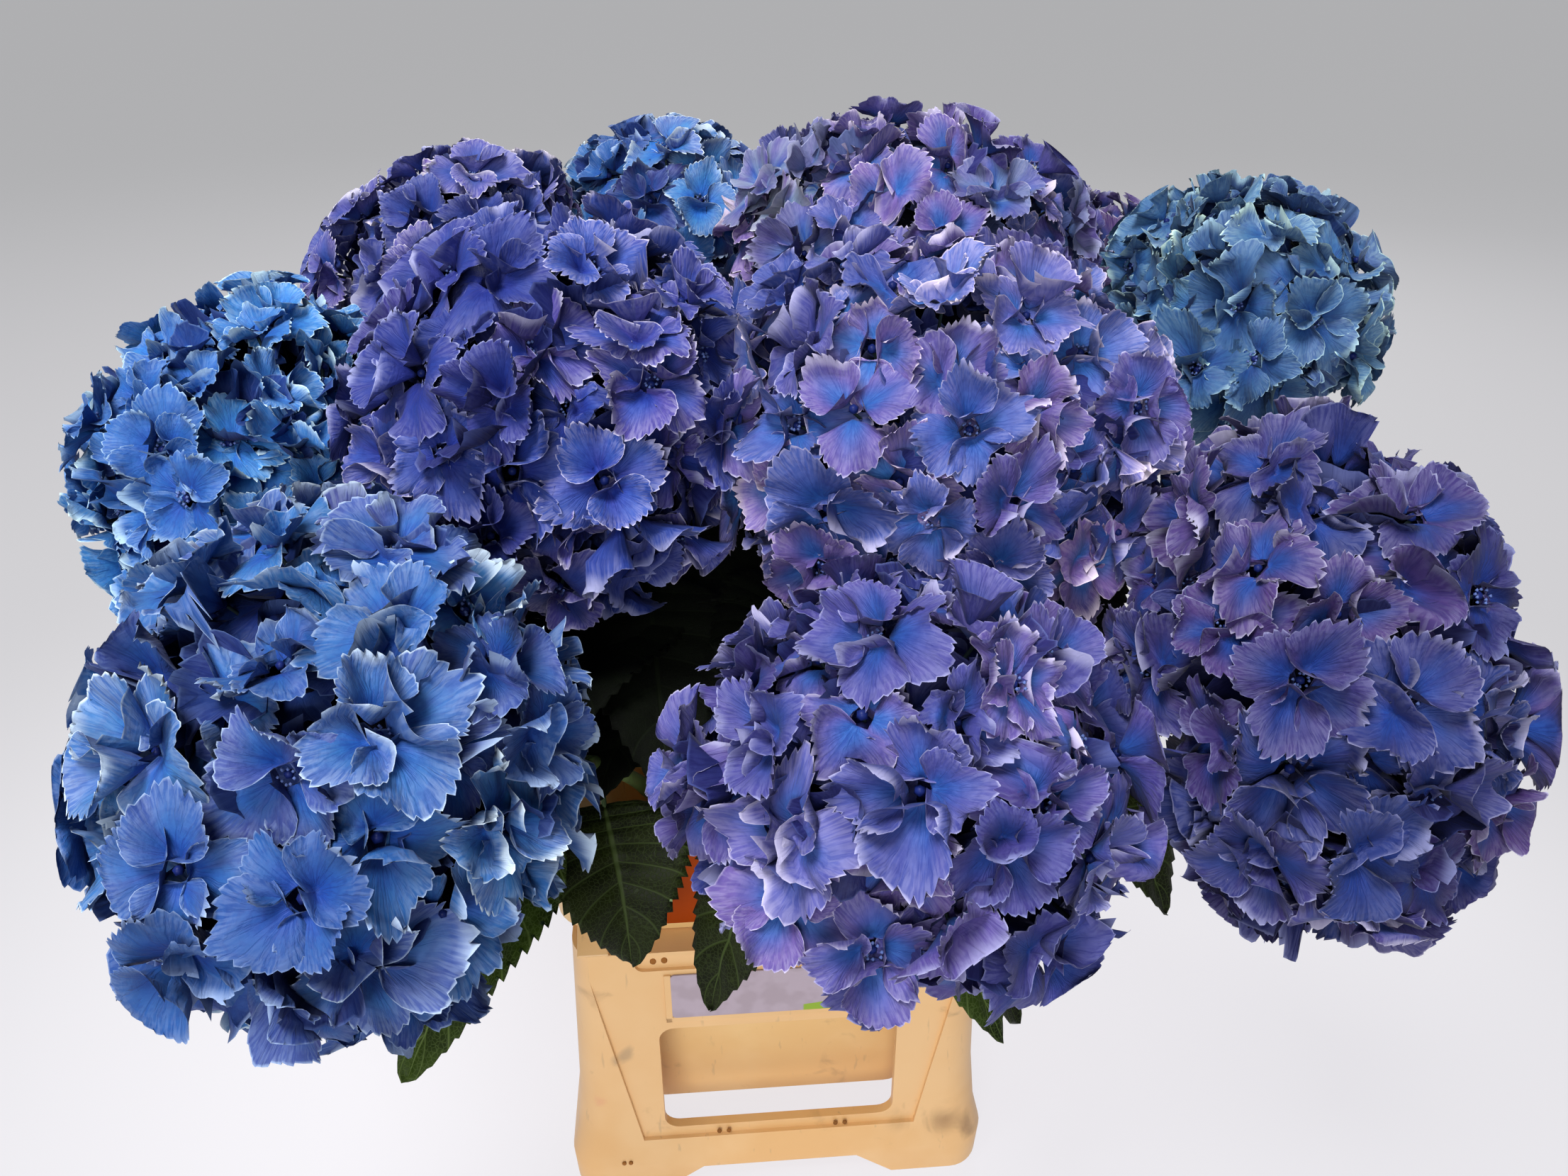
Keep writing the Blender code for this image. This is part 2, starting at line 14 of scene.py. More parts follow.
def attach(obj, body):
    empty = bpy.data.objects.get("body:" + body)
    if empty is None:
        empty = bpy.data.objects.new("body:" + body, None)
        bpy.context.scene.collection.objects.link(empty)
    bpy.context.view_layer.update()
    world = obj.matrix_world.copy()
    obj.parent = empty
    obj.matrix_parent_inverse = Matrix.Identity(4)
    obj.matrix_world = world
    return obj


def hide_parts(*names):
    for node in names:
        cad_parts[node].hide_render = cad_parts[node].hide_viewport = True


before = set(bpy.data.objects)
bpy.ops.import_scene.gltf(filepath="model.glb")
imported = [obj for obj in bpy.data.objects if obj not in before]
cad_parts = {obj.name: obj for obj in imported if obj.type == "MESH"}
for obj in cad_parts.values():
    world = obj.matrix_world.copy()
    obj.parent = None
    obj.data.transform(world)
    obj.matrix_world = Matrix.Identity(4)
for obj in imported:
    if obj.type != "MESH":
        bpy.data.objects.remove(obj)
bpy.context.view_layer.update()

# Places of the bunch and the bucket, and the gap between pieces at rest, as in the solids.
PLANT = Vector((-0.0015, 0.0175, 0.0))
BUCKET = Vector((-0.0195, 0.0225, 0.0))
GAP = 0.0003
# Height on the bunch's middle line that every bloom faces away from.
FAN_HEIGHT = 0.22


class Bloom(namedtuple("Row", "name place sizes palette lilac radius lightness")):
    """A row of the table below, with what follows from it."""

    @property
    def centre(self):
        return Vector(self.place) + PLANT

    @property
    def axes(self):
        """Matrix whose columns are the bloom's across, fore-and-aft and stem directions."""
        along = (Vector(self.place) - Vector((0.0, 0.0, FAN_HEIGHT))).normalized()
        across = (Vector((1.0, 0.0, 0.0)) - along * along.x).normalized()
        return Matrix((across, along.cross(across), along)).transposed()

    def reach(self, direction):
        """How far the bloom's outline lies from its centre along a direction."""
        return scaled(self.axes.transposed() @ direction, self.sizes).length


# Blooms: name, centre, half sizes (across, fore and aft, along the stem), palette,
# share of lilac florets, floret radius, lightness (partly the bloom's own tone, partly painted
# light and shade).
BLOOMS = [Bloom(*row) for row in (
    ("front_left", (-0.210, -0.305, 0.461), (0.105, 0.118, 0.094), "blue", 0.30, 0.031, 0.98),
    ("front_centre", (0.028, -0.318, 0.448), (0.104, 0.096, 0.084), "lilac", 0.75, 0.029, 0.82),
    ("front_right", (0.222, -0.278, 0.472), (0.089, 0.123, 0.088), "violet", 0.52, 0.0295, 0.79),
    ("centre", (0.071, -0.150, 0.537), (0.128, 0.111, 0.100), "lilac", 0.45, 0.029, 1.14),
    ("centre_left", (-0.126, -0.127, 0.550), (0.111, 0.114, 0.095), "deep", 0.40, 0.0285, 1.08),
    ("left", (-0.302, -0.080, 0.510), (0.084, 0.120, 0.086), "sky", 0.05, 0.026, 1.06),
    ("back_left", (-0.212, 0.085, 0.562), (0.100, 0.085, 0.076), "dusk", 0.50, 0.027, 1.20),
    ("back_centre", (-0.072, 0.152, 0.574), (0.088, 0.088, 0.074), "blue", 0.30, 0.027, 1.20),
    ("back_crown", (0.088, 0.052, 0.580), (0.126, 0.092, 0.090), "lilac", 0.75, 0.029, 1.05),
    ("back_right", (0.298, 0.035, 0.543), (0.083, 0.122, 0.087), "teal", 0.10, 0.030, 1.18),
    ("rear_left", (-0.155, 0.278, 0.490), (0.104, 0.104, 0.086), "blue", 0.35, 0.029, 1.05),
    ("rear_centre", (0.062, 0.264, 0.515), (0.108, 0.106, 0.088), "lilac", 0.50, 0.029, 1.05),
    ("rear_right", (0.252, 0.225, 0.490), (0.104, 0.104, 0.086), "violet", 0.45, 0.029, 1.00),
)]
# Share of a bloom that its solid core fills, and how far down its round the florets go.
CORE_SHARE = 0.78
BARE_UNDERSIDE = -0.74
# Blooms nearer than this may touch, and a sepal runs this far into the next bloom.
NEIGHBOUR = 0.32
PRESS = 0.004

# Petal colours of a palette: at the eye, over the sepal, its lilac tinge and its rim.
# The rim is the sepals' own pale margin and partly painted highlight.
PALETTES = {
    "sky": ((22, 82, 160), (38, 97, 162), (44, 80, 150), (170, 198, 216)),
    "blue": ((18, 72, 150), (36, 89, 147), (60, 64, 128), (164, 182, 204)),
    "deep": ((14, 36, 118), (32, 56, 130), (54, 46, 116), (162, 162, 196)),
    "dusk": ((20, 52, 128), (48, 64, 132), (66, 54, 120), (168, 168, 194)),
    "violet": ((22, 60, 132), (35, 54, 112), (64, 44, 98), (154, 150, 176)),
    "lilac": ((34, 80, 150), (60, 78, 144), (86, 69, 132), (178, 172, 200)),
    "teal": ((24, 70, 128), (54, 92, 134), (60, 76, 124), (160, 190, 196)),
}
# The palettes that share the violet one's slot. Each of the others has its own.
SLOTS = {"deep": "petals_violet", "dusk": "petals_violet"}


def linear(colour, kept=1.0):
    """Scene-linear RGBA from 0-255 display values, darkened to the share that is kept."""
    channels = [value / 255 for value in colour]
    bright = [c / 12.92 if c <= 0.04045 else ((c + 0.055) / 1.055) ** 2.4 for c in channels]
    return [c * kept for c in bright] + [1.0]


def smooth_step(low, high, values):
    """0 below low, 1 above high and a smooth rise between."""
    share = np.clip((values - low) / (high - low), 0.0, 1.0)
    return share * share * (3 - 2 * share)


# ---- meshes


def place_object(name, data):
    """A new object, linked into the scene."""
    made = bpy.data.objects.new(name, data)
    bpy.context.scene.collection.objects.link(made)
    return made


def mesh_object(name, points, triangles, material, uv_maps=(), colours=None):
    """An object from arrays; each UV map and the colours hold one row for each point."""
    data = bpy.data.meshes.new(name)
    data.from_pydata(points, (), triangles)
    data.shade_smooth()
    corners = np.asarray(triangles).ravel()
    for map_name, values in uv_maps:
        layer = data.uv_layers.new(name=map_name)
        layer.data.foreach_set("uv", np.asarray(values, np.float32)[corners].ravel())
    if colours is not None:
        layer = data.attributes.new("floret", "FLOAT_COLOR", "POINT")
        layer.data.foreach_set("color", np.asarray(colours, np.float32).ravel())
    data.update()
    data.validate()
    data.materials.append(material)
    return place_object(name, data)


def settle(piece, slot, *nodes):
    """Rides on the plant's one body and stands for the nodes given; slot is not used."""
    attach(piece, "root")
    if nodes:
        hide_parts(*nodes)
    return piece


# ---- materials


class Nodes:
    """Short calls for building one material's node tree."""

    def __init__(self, name, roughness):
        self.material = bpy.data.materials.new(name)
        self.material.use_nodes = True
        self.tree = self.material.node_tree
        self.shader = self.tree.nodes["Principled BSDF"]
        self.shader.inputs["Roughness"].default_value = roughness

    def add(self, kind, settings=None, **inputs):
        """A node with its inputs by name, or by number as i0, i1 and so on."""
        node = self.tree.nodes.new("ShaderNode" + kind)
        for key, value in (settings or {}).items():
            setattr(node, key, value)
        for key, value in inputs.items():
            numbered = key[0] == "i" and key[1:].isdigit()
            self.put(node.inputs[int(key[1:]) if numbered else key], value)
        return node

    def put(self, socket, value):
        if isinstance(value, bpy.types.NodeSocket):
            self.tree.links.new(value, socket)
        else:
            socket.default_value = value

    def math(self, operation, a, b=0.0, clamp=False):
        node = self.add("Math", {"operation": operation, "use_clamp": clamp}, i0=a, i1=b)
        return node.outputs[0]

    def times(self, a, b):
        return self.math("MULTIPLY", a, b)

    def minus(self, a, b):
        return self.math("SUBTRACT", a, b)

    def place(self):
        """The point in the object's own space."""
        return self.add("TexCoord").outputs["Object"]

    def split(self, vector):
        return self.add("SeparateXYZ", Vector=vector).outputs

    def vector(self, operation, a, b=(0.0, 0.0, 0.0)):
        return self.add("VectorMath", {"operation": operation}, i0=a, i1=b).outputs

    def span(self, value, low, high, to_low=0.0, to_high=1.0):
        """Smoothly maps low..high to another range and holds it beyond."""
        settings = {"interpolation_type": "SMOOTHSTEP"}
        return self.add(
            "MapRange", settings, i0=value, i1=low, i2=high, i3=to_low, i4=to_high
        ).outputs[0]

    def mix(self, share, a, b, blend="MIX"):
        settings = {"data_type": "RGBA", "blend_type": blend}
        return self.add("Mix", settings, i0=share, i6=a, i7=b).outputs[2]

    def noise(self, vector, scale, detail=2.0, distortion=0.0):
        inputs = {"Vector": vector, "Scale": scale, "Detail": detail, "Distortion": distortion}
        return self.add("TexNoise", **inputs).outputs["Fac"]

    def bump(self, height, strength, distance):
        node = self.add("Bump", Strength=strength, Distance=distance, Height=height)
        self.put(self.shader.inputs["Normal"], node.outputs[0])

    def finish(self, tone, specular=0.5):
        """The material with its colour and its specular level."""
        self.put(self.shader.inputs["Base Color"], tone)
        self.put(self.shader.inputs["Specular IOR Level"], specular)
        return self.material


# Painted light and shade on the petals: each channel is a floret's light to its own power,
# so petals painted darker lose their red first and their blue last, and the lightest pale.
SHADE_POWERS = (1.45, 1.22, 0.66)
# How many grains of a petal's two noises fit across it, and out from its claw.
RAY_GRAINS = (40.0, 2.2)
CELL_GRAINS = (14.0, 9.0)
GRAIN_SHIFT = 40.0
VEIN_TINT = (0.34, 0.42, 0.70, 1.0)
FADED = (150, 172, 176)


def petal_material(name, palette):
    """Blue at the eye, lilac outwards, with veins, mottling, a pale rim and painted light and
    shade.
    """
    eye, body, tinge, rim = (linear(colour) for colour in PALETTES[palette])
    n = Nodes(name, 0.62)
    across, out, _ = n.split(n.add("UVMap", {"uv_map": "petal"}).outputs[0])
    floret = n.add("Attribute", {"attribute_name": "floret"}).outputs
    lilac, light, fade = n.add("SeparateColor", Color=floret["Color"]).outputs
    shift = n.times(light, GRAIN_SHIFT)
    ray, cell = (
        n.add("CombineXYZ", X=n.times(across, wide), Y=n.times(out, far), Z=shift).outputs[0]
        for wide, far in (RAY_GRAINS, CELL_GRAINS)
    )
    veins = n.span(n.noise(ray, 1.0, 3.0, 0.5), 0.47, 0.66)
    patch = n.noise(ray, 0.17, 2.0)
    streaks = n.span(n.noise(ray, 1.7, 2.0), 0.38, 0.62)
    mottle = n.noise(cell, 1.0, 3.0)
    from_middle = n.math("ABSOLUTE", n.minus(across, 0.5))
    tone = n.mix(n.span(out, 0.10, 0.62), eye, body)
    lilac_share = n.times(lilac, n.span(n.math("ADD", out, from_middle), 0.35, 1.0))
    tone = n.mix(n.math("ADD", lilac_share, n.span(patch, 0.5, 0.75, 0.0, 0.25), True), tone, tinge)
    deep = n.mix(1.0, tone, VEIN_TINT, "MULTIPLY")
    tone = n.mix(n.times(veins, n.span(out, 0.1, 0.95, 0.54, 0.14)), tone, deep)
    tone = n.mix(n.span(mottle, 0.42, 0.64, 0.0, 0.34), tone, deep)
    # Outer streaks, thin rims and curled edges take the rim colour: the sepals' own pale margin and
    # partly painted highlight.
    tone = n.mix(n.times(n.span(out, 0.42, 1.0, 0.0, 0.19), streaks), tone, rim)
    thin = n.times(n.span(out, 0.960, 0.998), n.span(patch, 0.34, 0.60, 0.38, 0.90))
    tone = n.mix(thin, tone, rim)
    tone = n.mix(n.span(floret["Alpha"], 0.20, 0.75, 0.0, 0.80), tone, rim)
    tone = n.mix(n.times(fade, n.span(patch, 0.3, 0.6)), tone, linear(FADED))
    # Painted light and shade: the floret's light darkens or pales its whole colour.
    red, green, blue = (n.math("POWER", light, power) for power in SHADE_POWERS)
    shade = n.add("CombineColor", i0=red, i1=green, i2=blue).outputs[0]
    n.bump(n.minus(mottle, n.times(veins, 0.6)), 0.45, 0.0007)
    n.shader.inputs["Sheen Weight"].default_value = 0.03
    return n.finish(n.mix(1.0, tone, shade, "MULTIPLY"), 0.27)


def plain_material(name, colour, roughness, spread=0.15, scale=60.0, bump=0.2):
    """A matt surface with soft patches and a fine grain."""
    n = Nodes(name, roughness)
    patch = n.noise(n.place(), scale, 4.0)
    n.bump(patch, bump, 0.0005)
    dark = linear(colour, 1 - 2 * spread)
    return n.finish(n.mix(n.span(patch, 0.35, 0.65), dark, linear(colour)), 0.10)


# ---- florets

# A sepal spans twice this angle round its claw, and its teeth fade out between the next two.
LAST_ANGLE = math.radians(108)
TOOTH_FADE = (math.radians(66), math.radians(98))
# A tooth's points on the margin: place from its notch to the next, and how far it stands out.
TOOTH_PROFILE = ((0.36, 0.30), (0.74, 1.0))
# How far from the floret's middle its sepals start.
CLAW = 0.0045


class Template:
    """The net of a sepal's points: rays from its claw, rings across them and a toothed margin."""

    def __init__(self, teeth, rings):
        rays = np.linspace(-LAST_ANGLE, LAST_ANGLE, teeth + 1)
        step = rays[1] - rays[0]
        wide = len(rays)
        rows = [(0.0, 0.0, 0.0)] + [(ring, ray, 0.0) for ring in rings for ray in rays]
        edge = len(rows)
        rows.append((1.0, rays[0], -1.0))
        for index, ray in enumerate(rays[:-1]):
            leans = 1 if ray + step / 2 < 0 else -1
            for place, height in TOOTH_PROFILE[::leans]:
                rows.append((1.0, ray + step * (place if leans > 0 else 1 - place), height))
            rows.append((1.0, rays[index + 1], -1.0))
        self.share, self.angle, self.tooth = np.array(rows).T
        self.which_tooth = np.clip(((self.angle + LAST_ANGLE) / step).astype(int), 0, teeth - 1)
        self.tooth_fade = 1 - smooth_step(*TOOTH_FADE, np.abs(self.angle))
        self.edge = smooth_step(0.35, 1.0, self.share)
        self.rim = smooth_step(0.72, 1.0, self.share)
        self.teeth = teeth
        self.uv = np.stack((self.angle / LAST_ANGLE * 0.5 + 0.5, self.share), axis=1)
        triangles = [(0, 1 + j, 2 + j) for j in range(teeth)]
        for ring in range(len(rings) - 1):
            for j in range(teeth):
                a = 1 + ring * wide + j
                triangles += [(a, a + wide, a + wide + 1), (a, a + wide + 1, a + 1)]
        last = 1 + (len(rings) - 1) * wide
        points = len(TOOTH_PROFILE) + 1
        for j in range(teeth):
            start = edge + points * j
            for k in range(points):
                if k == points // 2:
                    triangles.append((last + j, start + k, last + j + 1))
                triangles.append((last + j + (k >= points // 2), start + k, start + k + 1))
        self.triangles = np.array(triangles)


FINE = Template(19, (0.14, 0.42, 0.70, 0.91))
COARSE = Template(9, (0.20, 0.75))

# What each sepal draws: low and high, or middle and spread for the lift and the bend.
POINT_SIZES = (0.06, 0.27)
POINT_WIDTH = 0.24
LOBE_SIZES = (0.0, 0.06)
TOOTH_DEPTHS = (0.022, 0.066)
NARROWING = (0.86, 1.0)
LIFT = (0.17, 0.20)
BEND = (-0.04, 0.20)
FOLD = (-0.14, 0.38)
# A wave starts anywhere in its turn.
ANY_PHASE = (0.0, 6.3)
# Ruffles: slowest and fastest waves, height, and whether they keep to the rim.
RUFFLES = ((2.2, 3.6, 0.115, False), (5.0, 7.5, 0.090, False), (9.0, 13.0, 0.040, True))
CURL_WAVES = (1.4, 3.4)
LEAST_CURL = 0.06
MOST_CURL = 0.42


def sepal(source, length, net):
    """One sepal's points, x outwards, y across, z up from the floret's eye, and their curl."""
    angle, share = net.angle, net.share
    outline = (0.5 + 0.5 * np.cos(0.66 * angle)) * (1 - np.abs(angle / LAST_ANGLE) ** 6) ** 0.7
    point = source.uniform(*POINT_SIZES)
    outline = outline * (1 + point * np.exp(-((angle / POINT_WIDTH) ** 2)))
    lobe = source.uniform(*LOBE_SIZES)
    lobes = lobe * np.cos(angle * source.uniform(3, 5) + source.uniform(0, 6))
    outline = outline * (1 + lobes * net.edge)
    depths = np.array([source.uniform(*TOOTH_DEPTHS) for _ in range(net.teeth)])
    apex = 0.85 + 0.4 * np.exp(-((angle / 0.55) ** 2))
    teeth = depths[net.which_tooth] * net.tooth * net.tooth_fade * apex
    radius = length * outline * share * (1 + teeth)
    x = CLAW + radius * np.cos(angle)
    y = radius * np.sin(angle) * source.uniform(*NARROWING)
    lift = source.gauss(*LIFT)
    bend = source.gauss(*BEND)
    fold = source.uniform(*FOLD)
    z = length * (lift * share + bend * share**2 + fold * (y / length) ** 2)
    for slow, fast, height, at_rim in RUFFLES:
        waves = source.uniform(slow, fast)
        where = net.rim if at_rim else net.edge
        z += length * height * where * np.sin(waves * angle + source.uniform(*ANY_PHASE))
    curl = np.clip(np.sin(source.uniform(*CURL_WAVES) * angle + source.uniform(*ANY_PHASE)), 0, 1)
    curl *= source.uniform(LEAST_CURL, MOST_CURL) * net.rim
    z += length * curl
    x -= length * curl * 0.6 * np.cos(angle)
    y -= length * curl * 0.6 * np.sin(angle)
    return np.stack((x, y, z), axis=1), curl / MOST_CURL


# Numbers of sepals and how often each comes up.
SEPAL_COUNTS = ((4, 3, 5), (0.84, 0.06, 0.10))
SEPAL_LENGTHS = (0.88, 1.10)
# Length share and height of a floret's lower and upper sepals.
PAIRS = ((1.04, -0.0002), (0.94, 0.0018))
MOST_ROLL = 0.22
MOST_TURN = 0.12
EYE_DEPTH = 0.0042
EYE_WIDTH = 0.010


def floret(source, radius, net):
    """The sepals of one floret, in two crossed pairs round a sunken eye."""
    count = source.choices(*SEPAL_COUNTS)[0]
    sepals = []
    for index in range(count):
        pair_length, height = PAIRS[index % 2]
        length = (radius - CLAW) * source.uniform(*SEPAL_LENGTHS) * pair_length
        points, curl = sepal(source, length, net)
        roll = source.uniform(-MOST_ROLL, MOST_ROLL)
        points[:, 2] += points[:, 1] * roll + height * (0.3 + net.share)
        turn = 2 * math.pi * index / count + source.uniform(-MOST_TURN, MOST_TURN)
        points[:, :2] = points[:, :2] @ np.array(
            ((math.cos(turn), math.sin(turn)), (-math.sin(turn), math.cos(turn)))
        )
        from_eye = np.hypot(points[:, 0], points[:, 1])
        points[:, 2] -= EYE_DEPTH * np.exp(-((from_eye / EYE_WIDTH) ** 2))
        sepals.append((points, curl))
    return sepals


def scaled(way, sizes):
    """A direction stretched by a bloom's half sizes."""
    return Vector((way[i] * sizes[i] for i in range(3)))


def contact_planes(bloom):
    """(point, direction) of the planes where the bloom presses on its neighbours."""
    planes = []
    for other in BLOOMS:
        apart = other.centre - bloom.centre
        if other is bloom or apart.length > NEIGHBOUR:
            continue
        direction = apart.normalized()
        mine, theirs = bloom.reach(direction), other.reach(direction)
        planes.append((bloom.centre + apart * mine / (mine + theirs), direction))
    return planes


def press_back(points, planes):
    """Sepals that would run far into the next bloom lie up against it instead."""
    for spot, direction in planes:
        way = np.array(direction)
        past = (points - np.array(spot)) @ way
        kept = np.where(past > 0, PRESS * np.tanh(past / PRESS), past)
        points = points - np.outer(past - kept, way)
    return points


def directions(count):
    """Unit vectors spread evenly over a ball, from the top down."""
    turn = math.pi * (3 - math.sqrt(5))
    for index in range(count):
        z = 1 - (2 * index + 1) / count
        flat = math.sqrt(1 - z * z)
        yield Vector((flat * math.cos(turn * index), flat * math.sin(turn * index), z))


# Deeper hollows where the bunch shows one: direction, depth share and width.
HOLLOWS = {
    "front_centre": (
        (Vector((-0.62, -0.35, -0.70)), 0.34, 0.55),
        (Vector((-0.20, -0.45, -0.87)), 0.30, 0.48),
    ),
    "front_left": (
        (Vector((-0.50, -0.30, -0.81)), 0.12, 0.50),
        (Vector((0.75, -0.30, -0.59)), 0.17, 0.46),
        (Vector((0.32, -0.10, -0.94)), 0.16, 0.42),
    ),
}

# Layers of florets on a bloom: cover, share of the way out, light, net of the sepals.
# The deeper layer's low light darkens its colour as painted shade.
Layer = namedtuple("Layer", "cover depths light net")
LAYERS = (
    Layer(1.72, (0.80, 0.95), 1.0, FINE),
    Layer(1.10, (0.62, 0.74), 0.30, COARSE),
)
# Where the stalks part, below a bloom's centre, as a share of its half height.
HUB_DROP = 0.5
# How far a petal gives past the outline, as a share, and how far below the next it tucks.
OUTER_GIVE = 0.08
TUCK = 0.0025
# Florets may overlap where they are nearer than their two radii times this.
NEAR_FLORETS = 1.1
# How far florets stray from an even spread, tilt from the bloom's round, and differ in size.
STRAY = 0.08
TILT = 0.46
FLORET_SIZES = (0.86, 1.10)
# How florets differ in lilac and light, their sepals in lilac, and the old ones in fading.
LILAC_SPREAD = 0.30
LIGHTS = (0.62, 1.30)
SEPAL_LILAC = 0.12
OLD_BLOOM = "back_crown"
FADED_SHARE = 0.3
FADES = (0.1, 0.55)
BEAD_RADII = (0.0019, 0.0026)
FIRST_SEED = 11
# Each sepal has a square cell in the baked map: the width it shows, its share and its margin.
BAKE_REACH = 2.6
BAKE_SHARE = 0.94
BAKE_MARGIN = 0.03


def keep_in_outline(points, centre, axes, sizes):
    """Petals that would stand far out of the bloom's outline are held near it."""
    turn = np.array(axes)
    local = (points - np.array(centre)) @ turn / np.array(sizes)
    share = np.linalg.norm(local, axis=1)
    past = np.maximum(share - 1.0, 0.0)
    held = np.where(past > 0, 1.0 + OUTER_GIVE * np.tanh(past / OUTER_GIVE), share)
    local *= (held / share)[:, None]
    return np.array(centre) + (local * np.array(sizes)) @ turn.T


def hollows(name):
    """(direction, depth share, width) of the shallow hollows in a bloom's round."""
    source = random.Random(name)
    yield from HOLLOWS.get(name, ())
    for _ in range(3):
        way = Vector((source.gauss(0, 1) for _ in range(3))).normalized()
        yield way, source.uniform(0.02, 0.06), source.uniform(0.30, 0.50)


def hollowed(way, dips):
    """Share of the full radius that is left along a direction."""
    share = 1.0
    for towards, depth, width in dips:
        share -= depth * math.exp(-((way.angle(towards) / width) ** 2))
    return share


def tuck_under(points, above):
    """Slides the parts of a floret that meet the ones lying over it to below them."""
    for spot, turn, radius in above:
        local = (points - spot) @ turn
        away = np.hypot(local[:, 0], local[:, 1]) / radius
        cover = 1 - smooth_step(0.80, 1.10, away)
        over = np.maximum(local[:, 2] + TUCK, 0.0)
        points = points - np.outer(over * cover, turn[:, 2])
    return points


def bake_cells(sepals):
    """Where each sepal's points lie in its own cell of the baked map."""
    side = math.ceil(math.sqrt(len(sepals)))
    for number, flat in enumerate(sepals):
        cell = np.array((number % side, number // side)) / side
        yield ((flat + 0.5) * BAKE_SHARE + BAKE_MARGIN) / side + cell


def floret_spots(bloom, layer, source):
    """(share of the way out, place, facing, radius) of each floret in one layer of a bloom."""
    dips = list(hollows(bloom.name))
    centre, axes, sizes = bloom.centre, bloom.axes, bloom.sizes
    across, deep, tall = sizes
    area = 4 * math.pi * (across * deep + deep * tall + tall * across) / 3
    count = round(layer.cover * area / (math.pi * bloom.radius**2))
    spin = Matrix.Rotation(source.uniform(0, 2 * math.pi), 3, "Z")
    for way in directions(count):
        way = spin @ way + Vector((source.uniform(-STRAY, STRAY) for _ in range(3)))
        way.normalize()
        if way.z < BARE_UNDERSIDE:
            continue
        normal = Vector((way[i] / sizes[i] for i in range(3))).normalized()
        normal += Vector((source.uniform(-1, 1) for _ in range(3))) * TILT
        facing = (axes @ normal).to_track_quat("Z", "Y").to_matrix()
        facing = facing @ Matrix.Rotation(source.uniform(0, 2 * math.pi), 3, "Z")
        depth = source.uniform(*layer.depths) * hollowed(axes @ way, dips)
        local = Vector((way[i] * sizes[i] * depth for i in range(3)))
        radius = bloom.radius * source.uniform(*FLORET_SIZES)
        yield depth, centre + axes @ local, facing, radius


def place_florets(bloom, layer, source, planes):
    """A layer's florets from the outermost in, each with those that may lie over it."""
    placed = []
    for _, spot, facing, radius in sorted(floret_spots(bloom, layer, source), reverse=True):
        crossing = max(((spot - point).dot(way) for point, way in planes), default=-1)
        if crossing > PRESS:
            continue
        where = np.array(spot)
        above = []
        for upper in placed:
            if np.linalg.norm(upper[0] - where) < (upper[2] + radius) * NEAR_FLORETS:
                above.append(upper)
        yield spot, facing, radius, above
        placed.append((where, np.array(facing), radius))


def build_bloom(bloom, seed, material, stalks, beads):
    """A bloom's sepals as one piece; its stalks and beads are gathered for all blooms."""
    source = random.Random(seed)
    planes = contact_planes(bloom)
    centre, axes, sizes = bloom.centre, bloom.axes, bloom.sizes
    hub = centre - axes.col[2] * sizes[2] * HUB_DROP
    shapes, uvs, bakes, colours = [], [], [], []
    for layer in LAYERS:
        net = layer.net
        for spot, facing, radius, above in place_florets(bloom, layer, source, planes):
            tinge = min(max(source.gauss(bloom.lilac, LILAC_SPREAD), 0.0), 1.0)
            # Painted light and shade: a random spread, the layer's darkening and the bloom's
            # lightness.
            light = source.uniform(*LIGHTS) * layer.light * bloom.lightness
            faded = bloom.name == OLD_BLOOM and source.random() < FADED_SHARE
            fade = source.uniform(*FADES) if faded else 0.0
            for flat, curl in floret(source, radius, net):
                world = tuck_under(np.array(spot) + flat @ np.array(facing).T, above)
                world = keep_in_outline(world, centre, axes, sizes)
                own = tinge + source.uniform(-SEPAL_LILAC, SEPAL_LILAC)
                dealt = np.tile((own, light, fade), (len(curl), 1))
                shapes.append((press_back(world, planes), net.triangles))
                uvs.append(net.uv)
                bakes.append(flat[:, :2] / (BAKE_REACH * radius))
                colours.append(np.column_stack((dealt, curl)))
            eye = np.array(spot - facing.col[2] * EYE_DEPTH)
            eye = Vector(tuck_under(eye[None], above)[0])
            stalks.append((hub, eye))
            if net is FINE:
                beads.append((eye, facing, source.uniform(*BEAD_RADII)))
    maps = ("petal", np.concatenate(uvs)), ("OFBake", np.concatenate([*bake_cells(bakes)]))
    made = mesh_object(
        "petals_" + bloom.name, *join_shapes(shapes), material, maps, np.concatenate(colours)
    )
    slot = SLOTS.get(bloom.palette, "petals_" + bloom.palette)
    return settle(made, slot, "head_" + bloom.name)


def ring_of(centre, along, radius, sides):
    """Points of a ring round a limb."""
    across = along.orthogonal().normalized()
    other = along.cross(across).normalized()
    for index in range(sides):
        turn = 2 * math.pi * index / sides
        yield centre + (across * math.cos(turn) + other * math.sin(turn)) * radius


def heading(line, index):
    """Direction of a line at one of its points."""
    return (line[min(index + 1, len(line) - 1)] - line[max(index - 1, 0)]).normalized()


def strips(rings, wide, faces):
    """Triangles between rings of points; with as many faces as points the rings are closed."""
    triangles = []
    for ring in range(rings - 1):
        for k in range(faces):
            a, b = ring * wide + k, ring * wide + (k + 1) % wide
            triangles += [(a, b, b + wide), (a, b + wide, a + wide)]
    return triangles


